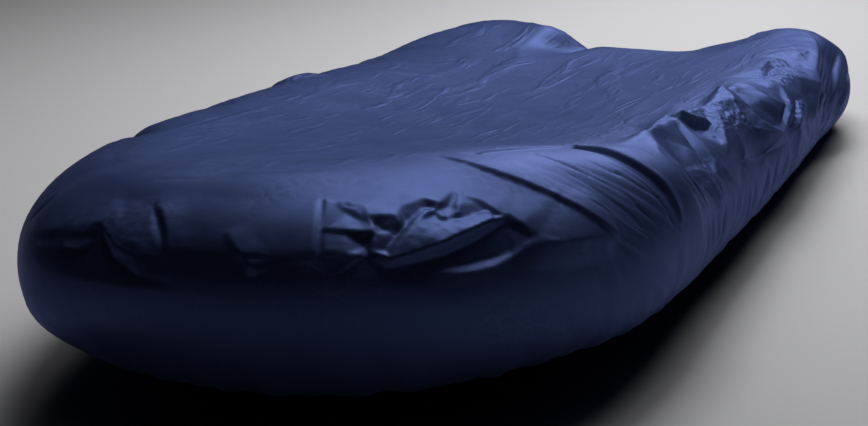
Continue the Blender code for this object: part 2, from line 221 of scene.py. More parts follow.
# %% Skirt and panel
PANEL_SAG = 0.030         # how far the cloth over the well hangs between the tubes
SAG_FORM = 1.5            # above 1, the sag keeps away from the edges of the well
TUCK = 0.36               # share of the reach that is left where the hem is drawn under
HEM_LIFT = 0.018          # the hem's edge turns up this far under the tubes
HEM_TURN = 0.85           # share of the way down the skirt where the hem starts to turn up
TAUT_ROUNDS = 300         # times the panel's points are drawn to their neighbours' middle
SMALL_STEP = 0.01         # step in section numbers with which a direction is measured


def skirt_points(numbers, sides, share):
    """Points of the skirt at section numbers and shares of the way from crest to hem."""
    ahead = crest_at(numbers + SMALL_STEP, sides)[:, :2]
    along = (ahead - crest_at(numbers - SMALL_STEP, sides)[:, :2]) * sides[:, None]
    along /= np.linalg.norm(along, axis=1)[:, None]
    outward = np.stack([along[:, 1], -along[:, 0]], axis=1)
    values = crest_at(numbers, sides)
    crest, reach, bulge, base = values[:, 2:].T
    turn = share * math.pi
    upper = share <= 0.5
    out = reach * np.where(upper, np.sin(turn), TUCK + (1 - TUCK) * np.sin(turn))
    lifted = HEM_LIFT * np.clip((share - HEM_TURN) / (1 - HEM_TURN), 0, None) ** 2
    drop = np.where(upper, crest - bulge, bulge - base)
    up = bulge + drop * np.cos(turn) + lifted
    return np.column_stack([values[:, :2] + outward * out[:, None], up])


def panel_points():
    """Grid of points of the cloth over the well, stretched between four sides."""
    edge = CREST[:, :3]
    half = ACROSS // 2
    a = np.linspace(0, 1, ACROSS + 1)[:, None, None]
    b = np.linspace(0, 1, DOWN_BOAT + 1)[None, :, None]
    bow = edge[np.arange(-half, half + 1) % STATIONS][:, None]
    stern = edge[(STATIONS // 2 + half - np.arange(ACROSS + 1)) % STATIONS][:, None]
    starboard = edge[(half + np.arange(DOWN_BOAT + 1)) % STATIONS][None]
    port = edge[(-half - np.arange(DOWN_BOAT + 1)) % STATIONS][None]
    corners = ((1 - a) * (1 - b) * bow[0] + a * (1 - b) * bow[-1]
               + (1 - a) * b * stern[0] + a * b * stern[-1])
    grid = (1 - b) * bow + b * stern + (1 - a) * port + a * starboard - corners
    for _ in range(TAUT_ROUNDS):
        grid[1:-1, 1:-1] = 0.25 * (grid[:-2, 1:-1] + grid[2:, 1:-1]
                                   + grid[1:-1, :-2] + grid[1:-1, 2:])
    sag = (16 * a * (1 - a) * b * (1 - b)) ** SAG_FORM
    grid[:, :, 2] -= PANEL_SAG * sag[:, :, 0]
    return grid


print("the skirt is", SKIRT_ROWS, "cells high, the panel", ACROSS, "by", DOWN_BOAT)

# %% [markdown]
# ## Joining skirt and panel into one mesh
# Both grids share the ring of points along the crest, so the sheet is one piece with no
# seam. Each point also gets four measures as attributes of the mesh: how far round and how
# far down the cloth it lies, its section number and its share of the way down the skirt.
# Blender keeps such attributes, and blends them, when we cut the faces finer in a moment.

# %% One sheet
FAR = 9.0                 # a distance larger than any on the cloth


def panel_corner(i, j):
    """Number of the point at a place of the panel's grid; its border is the crest."""
    half = ACROSS // 2
    if j == 0:
        return (i - half) % STATIONS
    if j == DOWN_BOAT:
        return (STATIONS // 2 + half - i) % STATIONS
    if i == 0:
        return (-half - j) % STATIONS
    if i == ACROSS:
        return (half + j) % STATIONS
    return STATIONS * (SKIRT_ROWS + 1) + (i - 1) * (DOWN_BOAT - 1) + (j - 1)


def sheet_faces():
    """Corner numbers of all faces, of the skirt and then of the panel."""
    faces = []
    for row in range(SKIRT_ROWS):
        for s in range(STATIONS):
            t = (s + 1) % STATIONS
            faces.append((row * STATIONS + s, (row + 1) * STATIONS + s,
                          (row + 1) * STATIONS + t, row * STATIONS + t))
    for i in range(ACROSS):
        for j in range(DOWN_BOAT):
            faces.append((panel_corner(i, j), panel_corner(i + 1, j),
                          panel_corner(i + 1, j + 1), panel_corner(i, j + 1)))
    return faces


def set_measure(mesh, name, values):
    """Keep one number for each point of the mesh as an attribute."""
    layer = mesh.attributes.get(name) or mesh.attributes.new(name, "FLOAT", "POINT")
    layer.data.foreach_set("value", np.asarray(values, np.float32))


def get_measure(mesh, name):
    """Read an attribute back as an array."""
    values = np.zeros(len(mesh.vertices), np.float32)
    mesh.attributes[name].data.foreach_get("value", values)
    return values.astype(float)


def nearest_on_crest(plan):
    """How far round the crest each place in plan is nearest to it, and how far away."""
    near = np.linalg.norm(plan[:, None] - CREST[None, :, :2], axis=2).argmin(axis=1)
    around, away = ROUND[near].copy(), np.full(len(plan), FAR)
    for step in (-1, 1):
        start, leg = CREST[near, :2], CREST[(near + step) % STATIONS, :2] - CREST[near, :2]
        size = np.linalg.norm(leg, axis=1)
        along = np.clip(((plan - start) * leg).sum(axis=1) / size ** 2, 0, 1)
        gap = np.linalg.norm(plan - start - along[:, None] * leg, axis=1)
        closer = gap < away
        away[closer] = gap[closer]
        around[closer] = (ROUND[near] + step * along * size)[closer]
    return around, away


def flat_sheet():
    """The whole sheet before it is folded, with its measures."""
    shares = np.repeat(np.linspace(0, 1, SKIRT_ROWS + 1), STATIONS)
    numbers = np.tile(NUMBERS, SKIRT_ROWS + 1)
    sides = np.tile(SIDES, SKIRT_ROWS + 1)
    skirt = skirt_points(numbers, sides, shares)
    rings = skirt.reshape(SKIRT_ROWS + 1, STATIONS, 3)
    steps = np.linalg.norm(np.diff(rings, axis=0), axis=2)
    down = np.concatenate([np.zeros((1, STATIONS)), np.cumsum(steps, axis=0)])
    inner = panel_points()[1:-1, 1:-1].reshape(-1, 3)
    around, away = nearest_on_crest(inner[:, :2])
    mesh = bpy.data.meshes.new("cover_cloth")
    mesh.from_pydata(np.vstack([skirt, inner]).tolist(), [], sheet_faces())
    mesh.update()
    set_measure(mesh, "round", np.concatenate([np.tile(ROUND, SKIRT_ROWS + 1), around]))
    set_measure(mesh, "down", np.concatenate([down.ravel(), -away]))
    set_measure(mesh, "number", np.concatenate([numbers * sides, np.zeros(len(inner))]))
    set_measure(mesh, "share", np.concatenate([shares, np.full(len(inner), -1.0)]))
    cloth = bpy.data.objects.new("cover_cloth", mesh)
    bpy.context.scene.collection.objects.link(cloth)
    return cloth


cloth = flat_sheet()
print(len(cloth.data.polygons), "faces in one sheet")

# %% [markdown]
# ## A rounded crest
# The skirt leaves the crest level, but the panel falls away from it, so the sheet has a
# crease all along the crest. Cloth over a tube is round there. We draw the points near the
# crest to the middle of their neighbours, again and again, and note how far each one moved,
# because the move has to be made after the faces are cut finer.

# %% Ease the crest
EASE_BAND = 0.050         # how far from the crest the easing dies out
EASE_ROUNDS = 60          # times the points are drawn to their neighbours' middle


def points_of(mesh):
    """All points of a mesh as an array."""
    points = np.zeros(3 * len(mesh.vertices), np.float32)
    mesh.vertices.foreach_get("co", points)
    return points.reshape(-1, 3).astype(float)


def set_points(mesh, points):
    """Move all points of a mesh."""
    mesh.vertices.foreach_set("co", points.ravel())
    mesh.update()


def neighbour_means(points, edges):
    """The middle of the neighbours of every point."""
    ends = np.concatenate([edges[:, 0], edges[:, 1]])
    others = np.concatenate([edges[:, 1], edges[:, 0]])
    count = np.bincount(ends, minlength=len(points))
    return np.stack([np.bincount(ends, points[others, axis], len(points)) / count
                     for axis in range(3)], axis=1)


def note_easing(mesh):
    """Keep the move that rounds the crest as three measures of each point."""
    edges = np.zeros(2 * len(mesh.edges), np.int32)
    mesh.edges.foreach_get("vertices", edges)
    start = points_of(mesh)
    points = start.copy()
    share = np.exp(-(get_measure(mesh, "down") / EASE_BAND) ** 2)[:, None]
    for _ in range(EASE_ROUNDS):
        points += 0.5 * share * (neighbour_means(points, edges.reshape(-1, 2)) - points)
    for axis, name in enumerate(("ease_x", "ease_y", "ease_z")):
        set_measure(mesh, name, (points - start)[:, axis])
    return np.linalg.norm(points - start, axis=1).max()


print("the crest is eased by up to", round(1000 * note_easing(cloth.data), 1), "mm")

# %% [markdown]
# ## Broad unevenness
# No boat under a cover is quite even: one side stands higher, the other is drawn in. We
# move the cloth by a few wide, soft mounds before any fold is made. Each one is a bell
# curve in the cloth's own two measures, and lifts the cloth or pushes its side outwards.

# %% Mounds and hollows
MOUNDS = (
    # name                      round   down  wide  tall   up      out
    ("starboard bow stands",     0.48,  0.00, 0.34, 0.26,  0.018,  0.000),
    ("port bow sinks",          -0.50,  0.02, 0.32, 0.26, -0.037, -0.006),
    ("port cheek drawn in",     -0.42,  0.16, 0.16, 0.14, -0.006, -0.012),
    ("port cheek full below",   -0.28,  0.48, 0.14, 0.10, -0.012,  0.020),
    ("port bow hem lifted",     -0.12,  0.57, 0.14, 0.10,  0.020, -0.004),
    ("port side stands",        -1.50,  0.02, 0.50, 0.16,  0.017,  0.000),
    ("port quarter sinks",      -2.32,  0.00, 0.20, 0.14, -0.010,  0.000),
    ("port tube end stands",    -2.90,  0.00, 0.08, 0.11,  0.024,  0.000),
    ("beside port tube end",    -2.99, -0.02, 0.05, 0.12, -0.036,  0.000),
    ("port of the transom",     -3.07, -0.02, 0.06, 0.10,  0.004,  0.000),
    ("beside starboard tube",    2.92, -0.06, 0.18, 0.16, -0.020,  0.000),
    ("starboard quarter full",   0.68,  0.50, 0.14, 0.14, -0.008,  0.014),
    ("starboard side drawn in",  1.18,  0.36, 0.32, 0.16,  0.004, -0.026),
    ("starboard tube end full",  2.48,  0.26, 0.14, 0.12, -0.006,  0.006),
    ("starboard rim falls",      2.56,  0.18, 0.08, 0.08, -0.014, -0.010),
)


def normals_of(mesh):
    """Unit normals of a mesh at its points."""
    mesh.update()
    normals = np.zeros(3 * len(mesh.vertices), np.float32)
    mesh.vertices.foreach_get("normal", normals)
    return normals.reshape(-1, 3).astype(float)


def round_gap(around, centre):
    """Distance along the crest from centre, the short way round."""
    return (around - centre + GIRTH / 2) % GIRTH - GIRTH / 2


def raise_mounds(mesh):
    """Move the sheet by all the mounds."""
    around, down = get_measure(mesh, "round"), get_measure(mesh, "down")
    points, normals = points_of(mesh), normals_of(mesh)
    for name, centre, middle, wide, tall, up, out in MOUNDS:
        share = np.exp(-(round_gap(around, centre) / wide) ** 2 - ((down - middle) / tall) ** 2)
        points[:, :2] += out * share[:, None] * normals[:, :2]
        points[:, 2] += up * share
    set_points(mesh, points)


print(len(MOUNDS), "mounds and hollows")

# %% [markdown]
# ## Folds
# Folds are what makes cloth look like cloth. Each is drawn as a path of places on the
# cloth. A crease is sharp along its middle, a swell is round, and a lap is cloth laid over
# itself: it stands up on the left of its path and drops over its edge.

# %% How a fold is shaped
CREASE, SWELL, LAP = "crease", "swell", "lap"
FOLD_REACH = 1.6          # a crease or swell has died out this many half widths away
LAP_REACH = 2.5           # and a lap this many
LAP_EDGE = 7.0            # how steeply the edge of a lap drops
ROUTE_STEPS = 8           # points of a fold's route for each place of its path
END_FORM = 0.5            # below 1, a fold keeps its height until close to its ends


def gap_to_path(flat, path):
    """Distance of each place from a smooth path, plus on its left, and its share along."""
    route = spline(path, np.linspace(0, len(path) - 1, ROUTE_STEPS * len(path)))
    gap, side = np.full(len(flat), FAR), np.ones(len(flat))
    share = np.zeros(len(flat))
    for k in range(len(route) - 1):
        leg = route[k + 1] - route[k]
        offset = flat - route[k]
        along = np.clip((offset @ leg) / (leg @ leg), 0, 1)
        away = np.linalg.norm(offset - along[:, None] * leg, axis=1)
        closer = away < gap
        gap[closer] = away[closer]
        side[closer] = np.sign(offset[:, 0] * leg[1] - offset[:, 1] * leg[0])[closer]
        share[closer] = (k + along[closer]) / (len(route) - 1)
    return gap * side, share


def fold_shape(across, form):
    """Height across a fold of height 1 and half width 1, at signed distances from it."""
    away = np.abs(across)
    if form == CREASE:
        return np.clip(1 - away / FOLD_REACH, 0, 1) ** 2
    if form == SWELL:
        return np.clip(1 - (away / FOLD_REACH) ** 2, 0, 1) ** 2
    return np.tanh(LAP_EDGE * across) * np.clip(1 - away / LAP_REACH, 0, 1) ** 2


def end_fade(share):
    """Height of a fold along its path, which falls to nothing at both ends."""
    return np.sin(math.pi * share) ** END_FORM


def laid_round(around, down, path):
    """Places on the cloth, with round counted the short way from a path's middle."""
    middle = np.mean([place[0] for place in path])
    return np.column_stack([round_gap(around, middle) + middle, down])


def near_path(flat, path, reach):
    """Numbers of the places inside the box round a path, grown by reach."""
    low, high = np.min(path, axis=0) - reach, np.max(path, axis=0) + reach
    return np.flatnonzero(((flat > low) & (flat < high)).all(axis=1))


def raise_fold(lift, flat, fold, reach):
    """Add one fold to the lift of the places within reach half widths of its path's box."""
    name, half, rise, form, path = fold
    near = near_path(flat, path, reach * half)
    gap, share = gap_to_path(flat[near], path)
    lift[near] += rise * fold_shape(gap / half, form) * end_fade(share)


def fold_lift(around, down, folds):
    """Rise of the cloth from a table of folds."""
    lift = np.zeros(len(around))
    for fold in folds:
        raise_fold(lift, laid_round(around, down, fold[-1]), fold, LAP_REACH)
    return lift


print("forms of a fold:", CREASE, SWELL, LAP)

# %% The main folds
# each place is (round, down); a program printed many of these places
FOLDS = (
    # name                    half    rise   form    path
    # starboard side: the deepest fold, and the wide facets behind it
    ("deep fold",            0.050, -0.006, CREASE,
     ((0.82, 0.00), (0.83, 0.08), (0.84, 0.14), (0.86, 0.20), (0.86, 0.25), (0.84, 0.32))),
    ("first facet ridge",    0.050,  0.005, CREASE,
     ((1.05, -0.02), (0.98, 0.13), (0.99, 0.20), (1.01, 0.30))),
    ("facet hollow",         0.060, -0.008, SWELL,
     ((1.15, 0.03), (1.07, 0.14), (1.07, 0.23), (1.07, 0.31))),
    ("second facet ridge",   0.045,  0.004, CREASE,
     ((1.24, 0.03), (1.13, 0.15), (1.13, 0.24), (1.11, 0.33))),
    ("crest edge",           0.045,  0.018, CREASE,
     ((0.90, 0.05), (1.10, 0.03), (1.35, 0.01), (1.60, 0.01), (1.90, 0.01))),
    ("flat of the side",     0.120, -0.032, SWELL,
     ((0.92, 0.22), (1.15, 0.19), (1.40, 0.19), (1.62, 0.20), (1.85, 0.21))),
    ("lens hollow",          0.050, -0.006, CREASE, ((1.35, 0.01), (1.36, 0.06), (1.38, 0.12))),
    ("crumple ridge",        0.040,  0.008, CREASE,
     ((1.50, 0.00), (1.48, 0.08), (1.46, 0.16), (1.40, 0.24))),
    ("peak ridge",           0.060,  0.014, CREASE,
     ((1.74, -0.01), (1.68, 0.08), (1.66, 0.13), (1.69, 0.18), (1.80, 0.25))),
    ("hollow under peak",    0.090, -0.016, SWELL,  ((1.62, 0.05), (1.57, 0.14), (1.60, 0.24))),
    ("hollow over ridge",    0.050, -0.010, CREASE,
     ((1.77, 0.03), (1.75, 0.10), (1.77, 0.15), (1.82, 0.20))),
    ("upper ridge",          0.040,  0.008, CREASE,
     ((1.86, 0.00), (1.82, 0.09), (1.84, 0.13), (1.87, 0.16))),
    ("groove",               0.026, -0.006, CREASE,
     ((1.96, 0.01), (1.91, 0.07), (1.91, 0.10), (1.89, 0.14))),
    # starboard tube end: the sharp rim and the gathers drawn round behind it
    ("tube end rim",         0.050, -0.010, LAP,
     ((2.62, 0.02), (2.54, 0.08), (2.37, 0.12), (2.21, 0.16), (2.08, 0.21), (1.97, 0.27))),
    ("hollow behind rim",    0.040, -0.018, CREASE,
     ((2.62, 0.12), (2.45, 0.16), (2.31, 0.21), (2.21, 0.27), (2.14, 0.33))),
    ("gather behind rim",    0.030,  0.014, CREASE,
     ((2.70, 0.14), (2.52, 0.20), (2.39, 0.27), (2.32, 0.34))),
    # middle of the bow: the crumpled patch, its long ridge and the pocket below
    ("long bow ridge",       0.050,  0.004, CREASE,
     ((0.27, 0.32), (0.33, 0.285), (0.40, 0.25), (0.45, 0.24))),
    ("pocket",               0.040, -0.005, SWELL,
     ((0.29, 0.345), (0.35, 0.325), (0.41, 0.30), (0.46, 0.29))),
    ("bow's turn",           0.095,  0.008, SWELL,
     ((0.095, 0.04), (0.10, 0.14), (0.105, 0.22), (0.11, 0.31))),
    # port bow
    ("port shelf",           0.045,  0.006, CREASE,
     ((-0.38, 0.34), (-0.28, 0.32), (-0.19, 0.28), (-0.14, 0.22))),
    ("port crest crease",    0.030, -0.002, SWELL,  ((-0.15, 0.05), (-0.07, 0.04), (0.02, 0.04))),
    # port side and stern, with plain tension folds
    ("port fold one",        0.050, -0.018, CREASE, ((-0.80, 0.02), (-0.90, 0.12), (-1.00, 0.26))),
    ("port fold two",        0.045, -0.016, CREASE, ((-1.28, 0.02), (-1.20, 0.12), (-1.18, 0.28))),
    ("port fold three",      0.050,  0.016, CREASE, ((-1.74, 0.00), (-1.66, 0.12), (-1.72, 0.26))),
    ("port fold four",       0.050, -0.016, CREASE, ((-2.10, 0.02), (-2.00, 0.10), (-1.90, 0.24))),
    ("port tube end rim",    0.045,  0.014, LAP,
     ((-2.62, 0.03), (-2.40, 0.12), (-2.20, 0.18), (-2.02, 0.26))),
    ("stern fold starboard", 0.045, -0.018, CREASE, ((2.82, 0.03), (2.92, 0.10), (2.98, 0.18))),
    ("stern fold port",      0.045, -0.016, CREASE, ((-2.84, 0.02), (-2.93, 0.10), (-3.02, 0.18))),
)

print(len(FOLDS), "main folds")

# %% [markdown]
# ## Sharp facets
# Where stiff thin cloth has to give way, it doesn't wave: it breaks into flat facets with
# sharp edges. One facet fold is a ridge or a valley with two flat flanks, and the flanks
# may differ in width, so one is gentle and the other steep. The steep one shows as a dark
# line or triangle. Where several cross, their sum is a crumple.

# %% Facet folds
# above: width of the flank towards the crest (or aft, where the path runs down); below:
# width of the other one; rise: height of the ridge, minus for a valley
# a program printed most of these places, and the widths and rises were chosen
FACETS = (
    # name                    above  below   rise    path
    # the line where the bow's slope turns down
    ("bow form line",         0.130, 0.070,  0.006,
     ((-0.37, 0.315), (-0.20, 0.284), (-0.05, 0.287), (0.10, 0.297), (0.22, 0.304), (0.47, 0.305),
      (0.64, 0.306))),
    ("right of the patch",    0.110, 0.050,  0.013,
     ((0.430, 0.296), (0.490, 0.302), (0.550, 0.302), (0.625, 0.302))),
    ("far port crease",       0.012, 0.020, -0.008,
     ((-0.400, 0.285), (-0.385, 0.250), (-0.400, 0.212))),
    ("port streak one",       0.008, 0.014, -0.002,
     ((-0.150, -0.050), (-0.078, -0.026), (-0.010, -0.016), (0.050, -0.004))),
    ("port streak two",       0.008, 0.016, -0.002,
     ((-0.154, 0.099), (-0.110, 0.086), (-0.033, 0.071))),
    ("port ridge",            0.035, 0.010,  0.004,
     ((-0.086, 0.187), (-0.053, 0.225), (-0.031, 0.270), (-0.017, 0.317))),
    ("bow notch",             0.035, 0.012,  0.006,
     ((0.061, 0.250), (0.081, 0.286), (0.094, 0.304), (0.112, 0.334))),
    # starboard quarter of the bow: the two big folds, and the gathers between them
    ("long fold edge",        0.070, 0.010,  0.009,
     ((0.350, -0.030), (0.400, 0.025), (0.432, 0.075), (0.463, 0.117), (0.525, 0.186),
      (0.583, 0.258), (0.625, 0.304), (0.680, 0.346), (0.770, 0.402))),
    ("deep fold edge",        0.100, 0.010,  0.011,
     ((0.772, -0.022), (0.796, 0.010), (0.810, 0.050), (0.819, 0.111), (0.828, 0.160),
      (0.837, 0.205), (0.839, 0.240), (0.834, 0.300))),
    ("deep fold floor",       0.010, 0.035, -0.010,
     ((0.762, -0.020), (0.786, 0.012), (0.800, 0.052), (0.809, 0.113), (0.818, 0.162),
      (0.827, 0.207), (0.829, 0.240), (0.825, 0.298))),
    ("gather one",            0.004, 0.010, -0.003,
     ((0.613, 0.146), (0.637, 0.189), (0.661, 0.230), (0.685, 0.263), (0.699, 0.300))),
    ("gather two",            0.004, 0.010, -0.003,
     ((0.696, 0.100), (0.723, 0.152), (0.745, 0.166), (0.765, 0.205), (0.805, 0.245))),
    ("gather three",          0.004, 0.010, -0.003,
     ((0.677, 0.172), (0.708, 0.217), (0.722, 0.257), (0.751, 0.302))),
    ("gather four",           0.004, 0.009, -0.003,
     ((0.601, 0.224), (0.637, 0.257), (0.671, 0.290), (0.713, 0.318))),
    ("gather five",           0.004, 0.008, -0.003,
     ((0.600, 0.050), (0.613, 0.080), (0.637, 0.127), (0.657, 0.162))),
    ("gather six",            0.004, 0.009, -0.003,
     ((0.628, 0.106), (0.653, 0.151), (0.684, 0.193), (0.710, 0.232))),
    ("gather seven",          0.004, 0.009, -0.003,
     ((0.752, 0.120), (0.778, 0.190), (0.797, 0.262), (0.800, 0.310))),
    ("gather ridge",          0.008, 0.008,  0.003,
     ((0.600, 0.200), (0.640, 0.262), (0.700, 0.322))),
    ("crease on the crest",   0.060, 0.006,  0.005,
     ((0.42, 0.002), (0.55, 0.003), (0.66, 0.001), (0.80, 0.000))),
    # at the tube's end
    ("rim line",              0.018, 0.050,  0.010,
     ((2.62, 0.030), (2.50, 0.090), (2.30, 0.135), (2.16, 0.180), (2.04, 0.235))),
)


def facet_lift(around, down, facets):
    """Rise of the cloth from a table of facet folds."""
    lift = np.zeros(len(around))
    for name, above, below, rise, path in facets:
        flat = laid_round(around, down, path)
        near = near_path(flat, path, max(above, below))
        gap, share = gap_to_path(flat[near], path)
        flank = np.clip(1 - np.abs(gap) / np.where(gap > 0, above, below), 0, 1)
        lift[near] += rise * flank * end_fade(share)
    return lift


print(len(FACETS), "facet folds")
